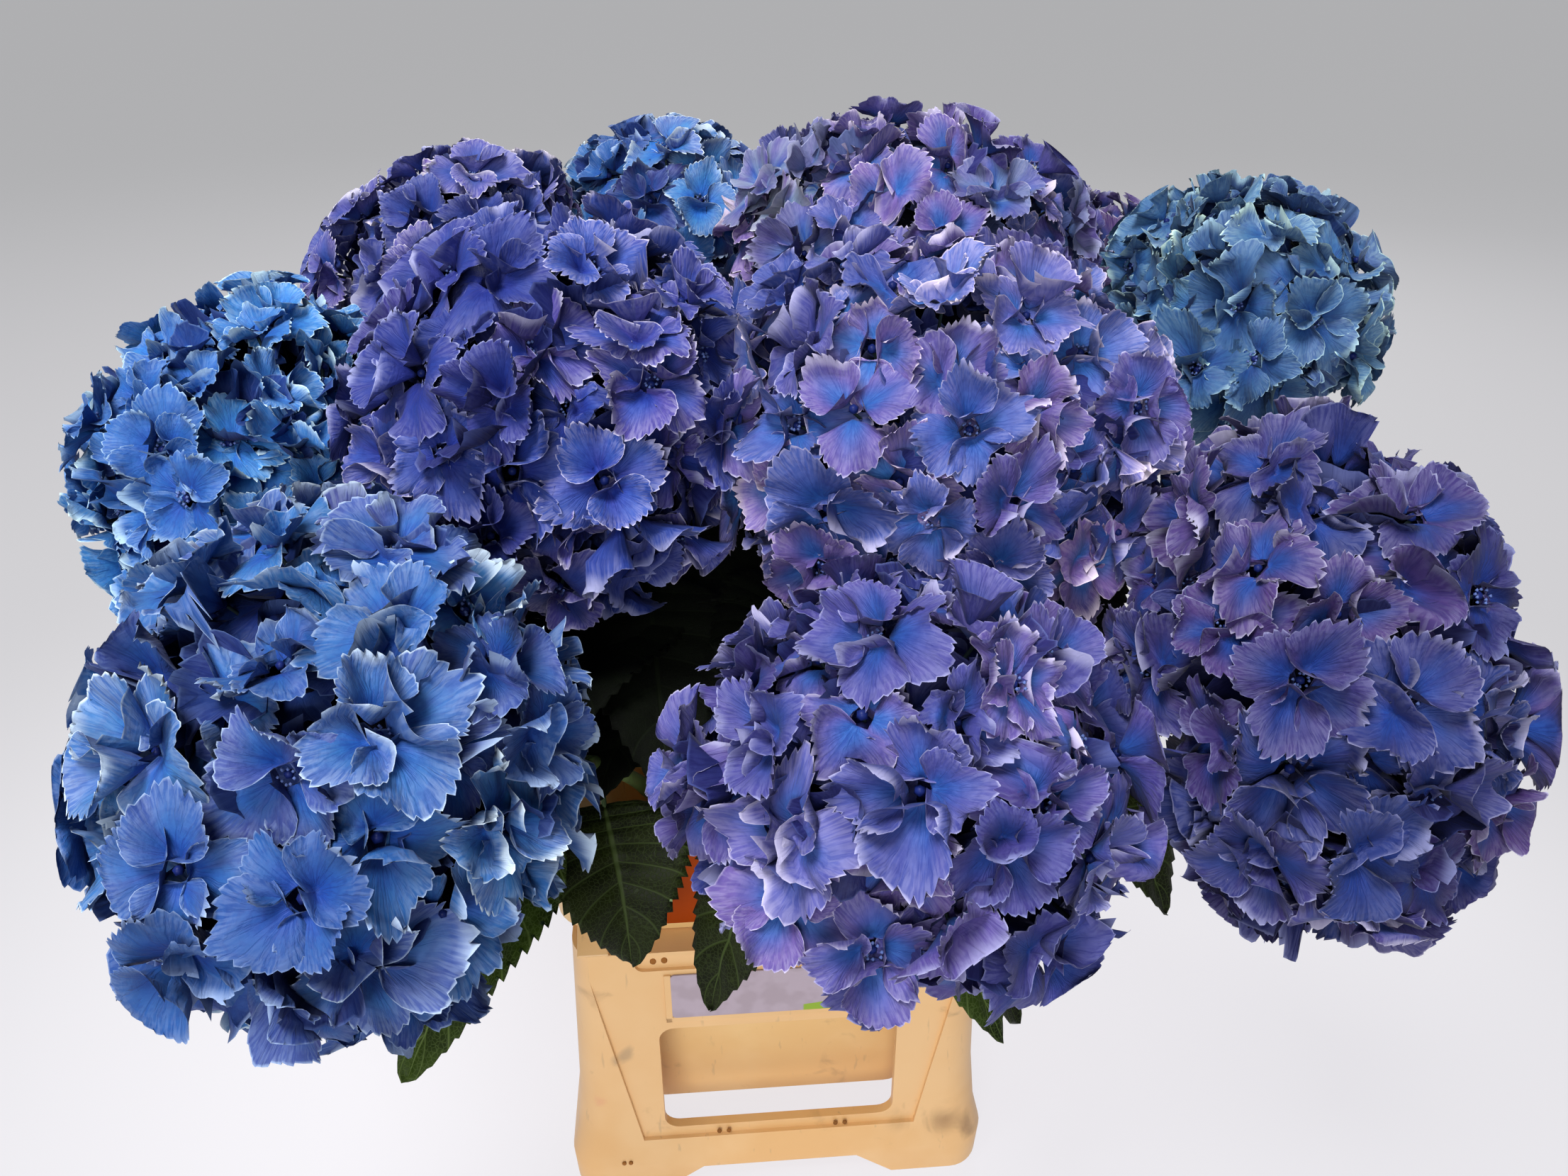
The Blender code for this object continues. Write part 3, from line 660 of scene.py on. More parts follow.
def tube(line, radii, sides):
    """Points and triangles of a tube along a line, with closed ends."""
    points = []
    for index, spot in enumerate(line):
        points += ring_of(spot, heading(line, index), radii[index], sides)
    triangles = strips(len(line), sides, sides)
    points += [line[0], line[-1]]
    first, last = len(points) - 2, len(points) - 1
    end = (len(line) - 1) * sides
    for k in range(sides):
        triangles.append((first, (k + 1) % sides, k))
        triangles.append((last, end + k, end + (k + 1) % sides))
    return points, triangles


def join_shapes(shapes):
    """One pair of arrays from many (points, triangles)."""
    points, triangles, start = [], [], 0
    for some_points, some_triangles in shapes:
        points.append(np.array(some_points))
        triangles.append(np.array(some_triangles) + start)
        start += len(some_points)
    return np.concatenate(points), np.concatenate(triangles)


def icosphere(subdivisions, radius=1.0):
    """Points and triangles of a ball."""
    ball = bmesh.new()
    bmesh.ops.create_icosphere(ball, subdivisions=subdivisions, radius=radius)
    points = np.array([v.co[:] for v in ball.verts])
    triangles = np.array([[v.index for v in f.verts] for f in ball.faces])
    ball.free()
    return points, triangles


STALK_RADII = (0.0016, 0.0013, 0.0010, 0.0009, 0.0010)


def build_stalks(stalks, material):
    """The thin stalks that carry the florets from each bloom's hub."""
    shapes = []
    for hub, eye in stalks:
        knee = hub.lerp(eye, 0.45) + (hub - eye).length * Vector((0.0, 0.0, 0.10))
        line = interpolate_bezier(hub, hub.lerp(knee, 0.6), knee, eye, len(STALK_RADII))
        shapes.append(tube(line, STALK_RADII, 3))
    return mesh_object("floret_stalks", *join_shapes(shapes), material)


# Share of the florets whose anthers show, how many each has, and their size to the bud's.
OPEN_SHARE = 0.5
ANTHERS = 9
ANTHER_SIZE = 0.42
ANTHER_RISE = (0.4, 1.0)
ANTHER_REACH = (1.0, 1.7)
# An eight-sided grain, for the anthers.
GRAIN_POINTS = np.array(((1, 0, 0), (0, 1, 0), (-1, 0, 0), (0, -1, 0), (0, 0, 1), (0, 0, -1)))
GRAIN_FACES = [(k, (k + 1) % 4, 4) for k in range(4)] + [((k + 1) % 4, k, 5) for k in range(4)]


def build_beads(beads, bud, pollen):
    """The round bud at the eye of each floret, and a ring of anthers round it on some."""
    source = random.Random(5)
    points, triangles = icosphere(1)
    buds, anthers = [], []
    for eye, facing, radius in beads:
        centre = np.array(eye + facing.col[2] * radius * 0.9)
        buds.append((centre + points * radius, triangles))
        if source.random() > OPEN_SHARE:
            continue
        for index in range(ANTHERS):
            turn = 2 * math.pi * index / ANTHERS + source.uniform(-0.3, 0.3)
            rise = source.uniform(*ANTHER_RISE)
            way = facing @ Vector((math.cos(turn), math.sin(turn), rise))
            anther = centre + np.array(way) * radius * source.uniform(*ANTHER_REACH)
            anthers.append((anther + GRAIN_POINTS * radius * ANTHER_SIZE, GRAIN_FACES))
    settle(mesh_object("floret_beads", *join_shapes(buds), bud), "petals_blue")
    settle(mesh_object("floret_anthers", *join_shapes(anthers), pollen), "petals_blue")


HEART_SHARE = 0.66


def build_hearts(material):
    """The dense middle of each bloom as a near-black ball, its colour painted shade, seen only
    between florets.
    """
    ball, triangles = icosphere(3, HEART_SHARE)
    shapes = []
    for bloom in BLOOMS:
        centre, axes = bloom.centre, bloom.axes
        dips = list(hollows(bloom.name))
        points = []
        for point in map(Vector, ball):
            local = scaled(point, bloom.sizes) * hollowed(axes @ point.normalized(), dips)
            points.append(centre + axes @ local)
        shapes.append((points, triangles))
    return mesh_object("bloom_hearts", *join_shapes(shapes), material)


# ---- camera, floor and light

PITCH = math.radians(60)
YAW = math.radians(-4.5)
CAMERA_BACK = 0.71
CAMERA_HEIGHT = 0.776
FOCAL_PIXELS = 1661
IMAGE_WIDTH = 2212


def build_camera():
    """The camera at the photo's place and angle."""
    data = bpy.data.cameras.new("camera")
    data.sensor_width = 36.0
    data.lens = data.sensor_width * FOCAL_PIXELS / IMAGE_WIDTH
    data.clip_start = 0.01
    made = place_object("camera", data)
    made.location = PLANT + Vector(
        (CAMERA_BACK * math.sin(YAW), -CAMERA_BACK * math.cos(YAW), CAMERA_HEIGHT)
    )
    made.rotation_euler = (PITCH, 0.0, YAW)
    bpy.context.scene.camera = made


# The floor's own colour, and its painted glow near the bucket, further out and far away.
FLOOR = (0.12, 0.118, 0.122, 1.0)
GLOWS = ((0.74, 0.726, 0.762, 1.0), (0.48, 0.474, 0.490, 1.0), (0.386, 0.386, 0.394, 1.0))


def build_floor():
    """A plain pale sheet that glows faintly with painted light, brightest near the bucket, as a lit
    studio sweep does.
    """
    mesh = bmesh.new()
    bmesh.ops.create_grid(mesh, x_segments=1, y_segments=1, size=30.0)
    data = bpy.data.meshes.new("floor")
    mesh.to_mesh(data)
    mesh.free()
    n = Nodes("floor", 0.9)
    n.shader.inputs["Base Color"].default_value = FLOOR
    away = n.vector("LENGTH", n.place())["Value"]
    near, further, far = GLOWS
    # Painted glow, brighter near the bucket than far away.
    glow = n.mix(n.span(away, 0.20, 1.15), near, further)
    n.put(n.shader.inputs["Emission Color"], n.mix(n.span(away, 1.0, 4.5), glow, far))
    n.shader.inputs["Emission Strength"].default_value = 1.0
    data.materials.append(n.material)
    place_object("floor", data)


# Lamps: name, place, what each points at, size and power.
LAMPS = (
    ("top", (-0.7, -0.9, 2.6), (0.0, 0.0, 0.45), 1.1, 88.0),
    ("front", (-0.5, -2.3, 1.3), (0.0, -0.1, 0.25), 1.2, 36.0),
    ("back", (0.9, 2.3, 1.5), (0.0, 0.1, 0.35), 1.4, 26.0),
)
SKY = (0.93, 0.95, 1.0, 1.0)
SKY_STRENGTH = 0.24


def build_light():
    """A dim sky and three soft lamps."""
    scene = bpy.context.scene
    scene.view_settings.view_transform = "Standard"
    scene.world = bpy.data.worlds.new("world")
    scene.world.use_nodes = True
    background = scene.world.node_tree.nodes["Background"].inputs
    background["Color"].default_value = SKY
    background["Strength"].default_value = SKY_STRENGTH
    for name, place, target, size, power in LAMPS:
        data = bpy.data.lights.new(name, "AREA")
        data.shape = "DISK"
        data.size = size
        data.energy = power
        lamp = place_object(name, data)
        lamp.location = place
        lamp.rotation_euler = (Vector(target) - Vector(place)).to_track_quat("-Z", "Y").to_euler()


# ---- stems and leaves

STEM_FOOT_RADIUS = 0.0055
STEM_TOP_RADIUS = 0.0036
# Points of a stem's line in the solids, where the leaves are seated, and rings of its skin.
STEM_POINTS = 8
STEM_RINGS = 45
STEM_KNEE = 0.34
STEM_NECK = 0.070
STEM_FOOT = 0.0297
FOOT_SPREAD = (0.17, 0.30)
JOINT_STEPS = (0.10, 0.16)
JOINT_WIDTH = 0.016

# Leaves: name, bloom whose stem bears it, place up that stem, tip and width, then the arch
# and the trough where they aren't the usual ones.
Leaf = namedtuple("Leaf", "name bearer up_stem tip width arch trough", defaults=(0.014, 0.20))
LEAVES = [Leaf(*row) for row in (
    ("hanging", "front_left", 0.60, (-0.104, -0.240, 0.267), 0.082, 0.040, 0.40),
    ("over_card", "front_centre", 0.56, (-0.061, -0.232, 0.217), 0.080, 0.034, 0.18),
    ("low_left", "front_left", 0.78, (-0.228, -0.312, 0.310), 0.085),
    ("low_centre", "front_centre", 0.62, (0.117, -0.252, 0.212), 0.072, 0.022),
    ("low_right", "front_right", 0.70, (0.186, -0.262, 0.305), 0.072, 0.020, 0.25),
    ("shaded", "centre_left", 0.84, (-0.078, -0.232, 0.378), 0.085, 0.018),
    ("shaded_low", "centre", 0.72, (-0.062, -0.205, 0.335), 0.080, 0.016),
    ("side_left", "left", 0.74, (-0.285, -0.020, 0.330), 0.090, 0.028),
    ("side_back_left", "back_left", 0.80, (-0.262, 0.165, 0.395), 0.085, 0.024),
    ("side_right", "back_right", 0.74, (0.292, -0.052, 0.345), 0.090, 0.028),
    ("side_back_right", "rear_right", 0.74, (0.292, 0.170, 0.330), 0.085, 0.026),
    ("back_left", "rear_left", 0.72, (-0.185, 0.335, 0.300), 0.088, 0.028),
    ("back_centre", "rear_centre", 0.62, (-0.030, 0.300, 0.280), 0.086, 0.016, 0.15),
    ("back_right", "rear_centre", 0.74, (0.135, 0.318, 0.330), 0.080, 0.024),
)]
# Small leaves that only peep out from under the front blooms; their lighter leaf colour is painted
# light.
UNDER_LEAVES = [Leaf(*row) for row in (
    ("under_left", "front_left", 0.70, (-0.216, -0.302, 0.260), 0.084, 0.012),
    ("under_centre", "front_centre", 0.80, (0.088, -0.313, 0.274), 0.060, 0.010),
)]
# Leaves inside the crown, which close the view down between the blooms; their near-black
# colour is painted shade. Their names are inner_a, inner_b and so on.
INNER_LEAVES = [Leaf("inner_" + letter, *row) for letter, row in zip("abcdefghijklmnopqr", (
    ("centre", 0.80, (-0.052, -0.185, 0.438), 0.080),
    ("centre_left", 0.78, (-0.135, -0.225, 0.410), 0.080),
    ("centre_left", 0.70, (-0.020, -0.190, 0.385), 0.082),
    ("centre", 0.66, (0.030, -0.215, 0.350), 0.080),
    ("centre", 0.84, (0.140, -0.215, 0.420), 0.080),
    ("centre_left", 0.60, (-0.120, -0.200, 0.350), 0.080),
    ("back_crown", 0.84, (0.190, -0.040, 0.470), 0.080),
    ("back_right", 0.60, (0.180, 0.120, 0.400), 0.080),
    ("back_centre", 0.74, (-0.120, 0.060, 0.440), 0.080),
    ("rear_left", 0.62, (-0.130, 0.260, 0.360), 0.080),
    ("front_right", 0.78, (0.225, -0.050, 0.350), 0.085),
    ("centre", 0.78, (-0.120, -0.110, 0.432), 0.090, 0.010),
    ("back_crown", 0.72, (-0.010, -0.060, 0.400), 0.085, 0.010),
    ("back_left", 0.80, (-0.110, -0.130, 0.428), 0.088, 0.010),
    ("back_right", 0.62, (0.182, -0.138, 0.406), 0.096, 0.010),
    ("back_centre", 0.70, (-0.050, -0.075, 0.424), 0.100, 0.010),
    ("left", 0.70, (-0.150, -0.130, 0.414), 0.088, 0.010),
    ("centre", 0.66, (0.220, -0.196, 0.372), 0.090, 0.010),
))]
PETIOLE_SHARE = 0.20
PETIOLE_HALF = 0.0022
PETIOLE_REACH = 0.030
PETIOLE_RADIUS = 0.0021
PETIOLE_TAPER = 0.0008
# Points of its line that a petiole runs on under the blade.
PETIOLE_LAP = 5
LEAF_TEETH = 19
# Steps along a blade, three to a tooth, and rings of its petiole.
STATIONS = LEAF_TEETH * 3 + 1
PETIOLE_RINGS = round(STATIONS * PETIOLE_SHARE / (1 - PETIOLE_SHARE))
TOOTH_STEPS = (0.0, 0.45, 1.0)
TOOTH_SIZE = 0.075
TOOTH_LEAN = 0.10
LEAF_COLUMNS = 7
# Side veins, and how much of the way to the next one a vein rises between midrib and margin.
LEAF_VEINS = 8
VEIN_SWEEP = 0.95
PUFF = 0.0017
WAVE = 0.0030
TIP_SHARE = 0.15
LEAF_SHEET = 0.0005


def stem_radius(share):
    """Radius of a stem at a share of the way up."""
    return STEM_FOOT_RADIUS + (STEM_TOP_RADIUS - STEM_FOOT_RADIUS) * share


def stem_handles(name):
    """Bezier handles of the stem under a bloom, from the bucket's floor to the core."""
    bloom = next(bloom for bloom in BLOOMS if bloom.name == name)
    along = bloom.axes.col[2]
    x, y = (place * spread for place, spread in zip(bloom.place, FOOT_SPREAD))
    foot = Vector((x, y, STEM_FOOT)) + BUCKET
    top = bloom.centre - along * (bloom.sizes[2] * CORE_SHARE + GAP)
    return foot, Vector((foot.x, foot.y, STEM_KNEE)), top - along * STEM_NECK, top


def build_stem(name, material):
    """A stem with its joints, from its cut foot up into the bloom."""
    source = random.Random(name)
    line = interpolate_bezier(*stem_handles(name), STEM_RINGS)
    joint = source.uniform(*JOINT_STEPS)
    radii = []
    for index in range(STEM_RINGS):
        share = index / (STEM_RINGS - 1)
        from_joint = abs((share / joint + 0.5) % 1 - 0.5) * joint
        swell = 0.94 + 0.20 * math.exp(-((from_joint / JOINT_WIDTH) ** 2))
        radii.append(stem_radius(share) * swell)
    made = mesh_object("stem_" + name + "_skin", *tube(line, radii, 14), material)
    return settle(made, "stem", "stem_" + name)


def leaf_half_width(blade, width):
    """Half width of a leaf at a share of its blade's length."""
    rounded = math.sin(math.pi * blade**0.75) ** 0.8
    return PETIOLE_HALF * 0.6 + width / 2 * rounded * (1 - blade * 0.1)


def leaf_line(leaf):
    """Centre line of a leaf from its seat on the stem, and the direction it heads in."""
    tip, arch = Vector(leaf.tip) + PLANT, leaf.arch
    points = interpolate_bezier(*stem_handles(leaf.bearer), STEM_POINTS)
    below, rest = divmod(leaf.up_stem * (STEM_POINTS - 1), 1)
    spot = points[int(below)].lerp(points[int(below) + 1], rest)
    grow = (points[int(below) + 1] - points[int(below)]).normalized()
    way = (tip - spot).normalized()
    out = (way - grow * way.dot(grow)).normalized()
    start = spot + out * (stem_radius(leaf.up_stem) + GAP)
    crest = (start + tip) / 2 + Vector((0.0, 0.0, arch)) + Vector((way.x, way.y, 0.0)) * arch
    handles = start, start + out * PETIOLE_REACH, crest, tip
    return interpolate_bezier(*handles, STATIONS + PETIOLE_RINGS), way


def blade_points(leaf, line, way):
    """Each point of a blade along its line, and its place in the blade's map."""
    level = way.cross(Vector((0.0, 0.0, 1.0))).normalized()
    sway = random.Random(leaf.name).uniform(*ANY_PHASE)
    for station in range(STATIONS):
        at = station + PETIOLE_RINGS
        onwards = heading(line, at)
        upper = level.cross(onwards).normalized()
        blade = station / (STATIONS - 1)
        half = leaf_half_width(blade, leaf.width)
        if blade == 1.0:
            half *= TIP_SHARE
        tooth = TOOTH_STEPS[station % 3]
        for column in range(-LEAF_COLUMNS, LEAF_COLUMNS + 1):
            side = column / LEAF_COLUMNS
            reach_out = abs(side) * (1 + TOOTH_SIZE * (tooth - 0.4) * abs(side) ** 8)
            phase = (blade * LEAF_VEINS - abs(side) * VEIN_SWEEP) % 1
            puff = PUFF * math.sin(math.pi * phase) * (1 - side**4) * min(1.0, half / 0.02)
            wave = WAVE * abs(side) ** 2 * math.sin(blade * 11 + sway + (2 if side > 0 else 0))
            rise = reach_out * leaf.trough * half + puff + wave
            sideways = level * math.copysign(reach_out, side) * half
            ahead = onwards * (TOOTH_LEAN * half * tooth * abs(side) ** 8)
            yield line[at] + sideways + upper * rise + ahead, (side * 0.5 + 0.5, blade)


def build_leaf(leaf, top, underside):
    """A toothed blade with raised fields between its veins, and its petiole."""
    line, way = leaf_line(leaf)
    points, uvs = zip(*blade_points(leaf, line, way))
    triangles = strips(STATIONS, 2 * LEAF_COLUMNS + 1, 2 * LEAF_COLUMNS)
    made = mesh_object("blade_" + leaf.name, points, triangles, top, (("leaf", uvs),))
    made.data.materials.append(underside)
    sheet = made.modifiers.new("Sheet", "SOLIDIFY")
    sheet.thickness = LEAF_SHEET
    sheet.material_offset = 1
    replaced = () if leaf.name.startswith(("inner", "under")) else ("leaf_" + leaf.name,)
    settle(made, "leaf", *replaced)
    line = line[: PETIOLE_RINGS + PETIOLE_LAP]
    radii = [PETIOLE_RADIUS - PETIOLE_TAPER * k / (len(line) - 1) for k in range(len(line))]
    stalk = mesh_object("petiole_" + leaf.name, *tube(line, radii, 8), underside)
    return settle(stalk, "leaf", *replaced)


def leaf_material(name, field, vein, roughness):
    """Dark fields between a pale midrib, swept side veins and a net of fine ones."""
    n = Nodes(name, roughness)
    across, along, _ = n.split(n.add("UVMap", {"uv_map": "leaf"}).outputs[0])
    side = n.times(n.math("ABSOLUTE", n.minus(across, 0.5)), 2.0)
    swept = n.minus(n.times(along, float(LEAF_VEINS)), n.times(side, VEIN_SWEEP))
    phase = n.math("FRACT", swept)
    from_vein = n.math("MINIMUM", phase, n.minus(1.0, phase))
    side_vein = n.span(from_vein, 0.0, 0.07, 0.75, 0.0)
    midrib = n.span(side, 0.015, 0.055, 1.0, 0.0)
    net = n.add("TexVoronoi", {"feature": "DISTANCE_TO_EDGE"}, Vector=n.place(), Scale=420.0)
    net_veins = n.span(net.outputs["Distance"], 0.0, 0.12, 0.35, 0.0)
    veins = n.math("MAXIMUM", n.math("MAXIMUM", side_vein, midrib), net_veins)
    patch = n.noise(n.place(), 45.0, 4.0)
    tone = n.mix(n.span(patch, 0.3, 0.7), linear(field, 0.30), linear(field))
    n.bump(n.times(veins, -1.0), 0.5, 0.0006)
    return n.finish(n.mix(veins, tone, linear(vein)), 0.12)


def stem_material():
    """Brown low down, green higher up, with darker streaks."""
    n = Nodes("stem_bark", 0.6)
    streak = n.noise(n.vector("MULTIPLY", n.place(), (300, 300, 40))[0], 1.0, 3.0)
    height = n.split(n.place())[2]
    tone = n.mix(n.span(height, 0.05, 0.40), linear((86, 74, 44)), linear((92, 116, 58)))
    n.bump(streak, 0.3, 0.0005)
    return n.finish(n.mix(n.span(streak, 0.45, 0.7, 0.0, 0.6), tone, linear((70, 52, 40))))


# ---- bucket

# Skirt, bucket and collar as levels of (z, half width, half depth).
SKIRT_OUTSIDE = (
    (0.0, 0.1425, 0.2030),
    (0.028, 0.1435, 0.2040),
    (0.046, 0.1390, 0.1985),
    (0.090, 0.1345, 0.1965),
    (0.216, 0.1290, 0.1930),
)
SKIRT_INSIDE = (
    (0.004, 0.1375, 0.1975),
    (0.030, 0.1375, 0.1950),
    (0.050, 0.1325, 0.1890),
    (0.213, 0.1245, 0.1845),
)
BODY_OUTSIDE = ((0.025, 0.104, 0.148), (0.232, 0.1240, 0.1690))
BODY_INSIDE = ((0.029, 0.1005, 0.1445), (0.234, 0.1210, 0.1660))
NECK_OUTSIDE = ((0.2163, 0.1270, 0.1710), (0.226, 0.1270, 0.1710))
COLLAR_OUTSIDE = ((0.2235, 0.1380, 0.1740), (0.300, 0.1425, 0.1790))
COLLAR_INSIDE = ((0.2265, 0.1340, 0.1700), (0.320, 0.1410, 0.1776))
RIM_OUTSIDE = ((0.288, 0.1440, 0.1805), (0.309, 0.1455, 0.1820))
SKIRT_CORNER = 0.022
SKIRT_INSIDE_CORNER = 0.018
BUCKET_CORNER = 0.024
INSIDE_CORNER = BUCKET_CORNER - 0.003
# The sunk front between the corner posts: (half width, z) at its foot and its top.
SUNK_FRONT = ((0.093, 0.046), (0.1225, 0.218))
POST_RISE = 0.003
# Openings under the skirt and at its top: half width, half depth, levels and corner.
FLOOR_OPENING = (0.124, 0.184, (-0.001, 0.01), 0.016)
TOP_OPENING = (0.1227, 0.1677, (0.2, 0.22), 0.024)
WINDOW_LEVELS = (0.054, 0.149)
WINDOW_CORNER = 0.010
END_WINDOW = 0.078
SIDE_WINDOW = (0.012, 0.136)
ARCH_LEVELS = (-0.001, 0.021)
END_ARCH = (0.080, 0.053)
SIDE_ARCH = (0.124, 0.096)
SLOT_LEVELS = (0.2005, 0.2125)
SLOT_HALF = 0.090
SLOT_DEPTH = 0.0028
SLOT_CORNER = 0.0058
CARD_HALF = 0.0685
CARD_LEVELS = (0.160, 0.197)
# The sheets on the front: half width, levels, thickness, corner and softened edge.
PANEL = (0.096, (0.2260, 0.2865), 0.0016, 0.005, 0.0004)
CARD = (CARD_HALF, CARD_LEVELS, 0.0012, 0.003, 0.0003)
LIP_WIDTH = 0.004
LIP_OUT = 0.0016
LIP_IN = 0.001
LIP_LAP = 0.0005
# A web over a corner post: its x range, and its (y, z) outline from the neck outwards.
SHOULDER_X = (0.105, 0.1245)
SHOULDER = ((0.1700, 0.2150), (0.1904, 0.2150), (0.1904, 0.2168), (0.1718, 0.2290))
# Far enough to cut right through the bucket.
THROUGH = 0.3


def loft(rings):
    """A closed mesh through rings that have the same number of points."""
    mesh = bmesh.new()
    rings = [[mesh.verts.new(point) for point in ring] for ring in rings]
    for low, high in zip(rings, rings[1:]):
        for k in range(len(low)):
            m = (k + 1) % len(low)
            mesh.faces.new((low[k], low[m], high[m], high[k]))
    mesh.faces.new(rings[0][::-1])
    mesh.faces.new(rings[-1])
    return mesh


def moulding(levels, radius, segments=8):
    """An upright body whose rounded rectangle changes from level to level."""
    rings = []
    for z, half_x, half_y in levels:
        ring = []
        for corner, (side_x, side_y) in enumerate(((1, 1), (-1, 1), (-1, -1), (1, -1))):
            for step in range(segments + 1):
                turn = math.pi / 2 * (corner + step / segments)
                x = side_x * (half_x - radius) + radius * math.cos(turn)
                y = side_y * (half_y - radius) + radius * math.sin(turn)
                ring.append((x, y, z))
        rings.append(ring)
    return loft(rings)


def tapered_box(bottom, top):
    """A box whose bottom and top are each (x low, x high, y low, y high, z)."""
    mesh = bmesh.new()
    for corner in bmesh.ops.create_cube(mesh, size=2.0)["verts"]:
        x_low, x_high, y_low, y_high, z = bottom if corner.co.z < 0 else top
        x = x_low if corner.co.x < 0 else x_high
        corner.co = (x, y_low if corner.co.y < 0 else y_high, z)
    return mesh


def round_edges(mesh, axis, radius, segments=6):
    """Rounds the edges that run mostly along one axis."""
    along = []
    for edge in mesh.edges:
        way = edge.verts[1].co - edge.verts[0].co
        if abs(way[axis]) > 0.9 * way.length:
            along.append(edge)
    bmesh.ops.bevel(
        mesh, geom=along, offset=radius, offset_type="OFFSET",
        segments=segments, profile=0.5, affect="EDGES",
    )
    return mesh


def rounded_box(x_range, y_range, z_range, axis, radius):
    """A straight box with the edges along one axis rounded."""
    return round_edges(tapered_box(*((*x_range, *y_range, z) for z in z_range)), axis, radius)


def both(half):
    """The span that reaches as far to each side of the middle."""
    return -half, half


def on_side(side, near, far):
    """The span between two distances on one side of the middle, where side is -1 or 1."""
    return sorted((side * near, side * far))


def solid(name, mesh, material=None):
    """An object at the bucket's place from a bmesh, which is freed."""
    data = bpy.data.meshes.new(name)
    bmesh.ops.recalc_face_normals(mesh, faces=mesh.faces[:])
    mesh.to_mesh(data)
    mesh.free()
    if material:
        data.materials.append(material)
    made = place_object(name, data)
    made.location = BUCKET
    return made


def bake_modifiers(target):
    """Puts what the modifiers make into the object's own mesh."""
    bpy.context.view_layer.update()
    graph = bpy.context.evaluated_depsgraph_get()
    data = bpy.data.meshes.new_from_object(target.evaluated_get(graph))
    target.modifiers.clear()
    target.data = data


def combine(target, operation, meshes):
    """Joins or cuts the target with each mesh in turn, for good."""
    for mesh in meshes:
        other = solid("other", mesh)
        step = target.modifiers.new("Join", "BOOLEAN")
        step.operation = operation
        step.solver = "EXACT"
        step.object = other
        bake_modifiers(target)
        bpy.data.objects.remove(other)


def soften(target, width, segments=3):
    """The object with every sharp edge rounded and the rest shaded smooth."""
    welded = bmesh.new()
    welded.from_mesh(target.data)
    bmesh.ops.remove_doubles(welded, verts=welded.verts[:], dist=0.00005)
    bmesh.ops.dissolve_limit(
        welded, angle_limit=math.radians(0.5), verts=welded.verts[:], edges=welded.edges[:]
    )
    welded.to_mesh(target.data)
    welded.free()
    bevel = target.modifiers.new("Bevel", "BEVEL")
    bevel.width = width
    bevel.segments = segments
    bevel.limit_method = "ANGLE"
    bevel.angle_limit = math.radians(28)
    bevel.harden_normals = True
    for polygon in target.data.polygons:
        polygon.use_smooth = True
    bake_modifiers(target)
    return target


def half_depth(low, high, z):
    """Half depth at a height between two levels of a body."""
    return low[2] + (high[2] - low[2]) * ((z - low[0]) / (high[0] - low[0]))


def face_y(z):
    """Half depth of the skirt's sunk front between its corner posts."""
    return half_depth(SKIRT_OUTSIDE[2], SKIRT_OUTSIDE[4], z) - POST_RISE


def collar_y(z):
    """Half depth of the collar's outside."""
    return half_depth(*COLLAR_OUTSIDE, z)


def skirt_cuts():
    """The openings, arches, slots and sunk fronts of the skirt."""
    yield moulding(SKIRT_INSIDE, SKIRT_INSIDE_CORNER)
    for half_x, half_y, levels, radius in (FLOOR_OPENING, TOP_OPENING):
        yield rounded_box(both(half_x), both(half_y), levels, 2, radius)
    through = both(THROUGH)
    yield rounded_box(both(END_WINDOW), through, WINDOW_LEVELS, 1, WINDOW_CORNER)
    for side in (-1, 1):
        yield rounded_box(through, on_side(side, *SIDE_WINDOW), WINDOW_LEVELS, 0, WINDOW_CORNER)
    yield tapered_box(*((*both(half), *through, z) for half, z in zip(END_ARCH, ARCH_LEVELS)))
    yield tapered_box(*((*through, *both(half), z) for half, z in zip(SIDE_ARCH, ARCH_LEVELS)))
    for side in (-1, 1):
        rows = []
        for half, z in SUNK_FRONT:
            rows.append((*both(half), *on_side(side, face_y(z), THROUGH), z))
        yield tapered_box(*rows)
        slot = on_side(side, face_y(SLOT_LEVELS[0]) - SLOT_DEPTH, THROUGH)
        yield rounded_box(both(SLOT_HALF), slot, SLOT_LEVELS, 1, SLOT_CORNER)


def shoulder(side_x, side_y):
    """A sloping web from the collar down to a corner post."""
    ends = sorted(side_x * x for x in SHOULDER_X)
    return loft([(x, side_y * y, z) for y, z in SHOULDER] for x in ends)


def lip_boxes():
    """The thin frame that holds the card, open at its top."""
    low, high = CARD_LEVELS
    outer, inner = CARD_HALF + LIP_WIDTH, CARD_HALF - LIP_LAP
    for x_range, top in (
        (both(outer), low + LIP_LAP),
        ((-outer, -inner), high),
        ((inner, outer), high),
    ):
        rows = []
        for z in (low - LIP_WIDTH, top):
            rows.append((*x_range, -face_y(z) - LIP_OUT, -face_y(z) + LIP_IN, z))
        yield tapered_box(*rows)


def build_skirt(cream):
    """The skirt in one piece, the webs over its corner posts and the frame of the card."""
    skirt = solid("skirt_shell", moulding(SKIRT_OUTSIDE, SKIRT_CORNER), cream)
    combine(skirt, "DIFFERENCE", skirt_cuts())
    walls = ("skirt_front", "skirt_back", "skirt_left", "skirt_right")
    settle(soften(skirt, 0.0016), "cream_plastic", *walls)
    for index, mesh in enumerate(lip_boxes()):
        strip = solid("card_frame_%d" % index, mesh, cream)
        settle(soften(strip, 0.0007), "cream_plastic")
    for side_y in (-1, 1):
        for side_x in (-1, 1):
            web = solid("shoulder_%d" % (side_x + 2 * side_y + 4), shoulder(side_x, side_y), cream)
            settle(soften(web, 0.0012), "cream_plastic")


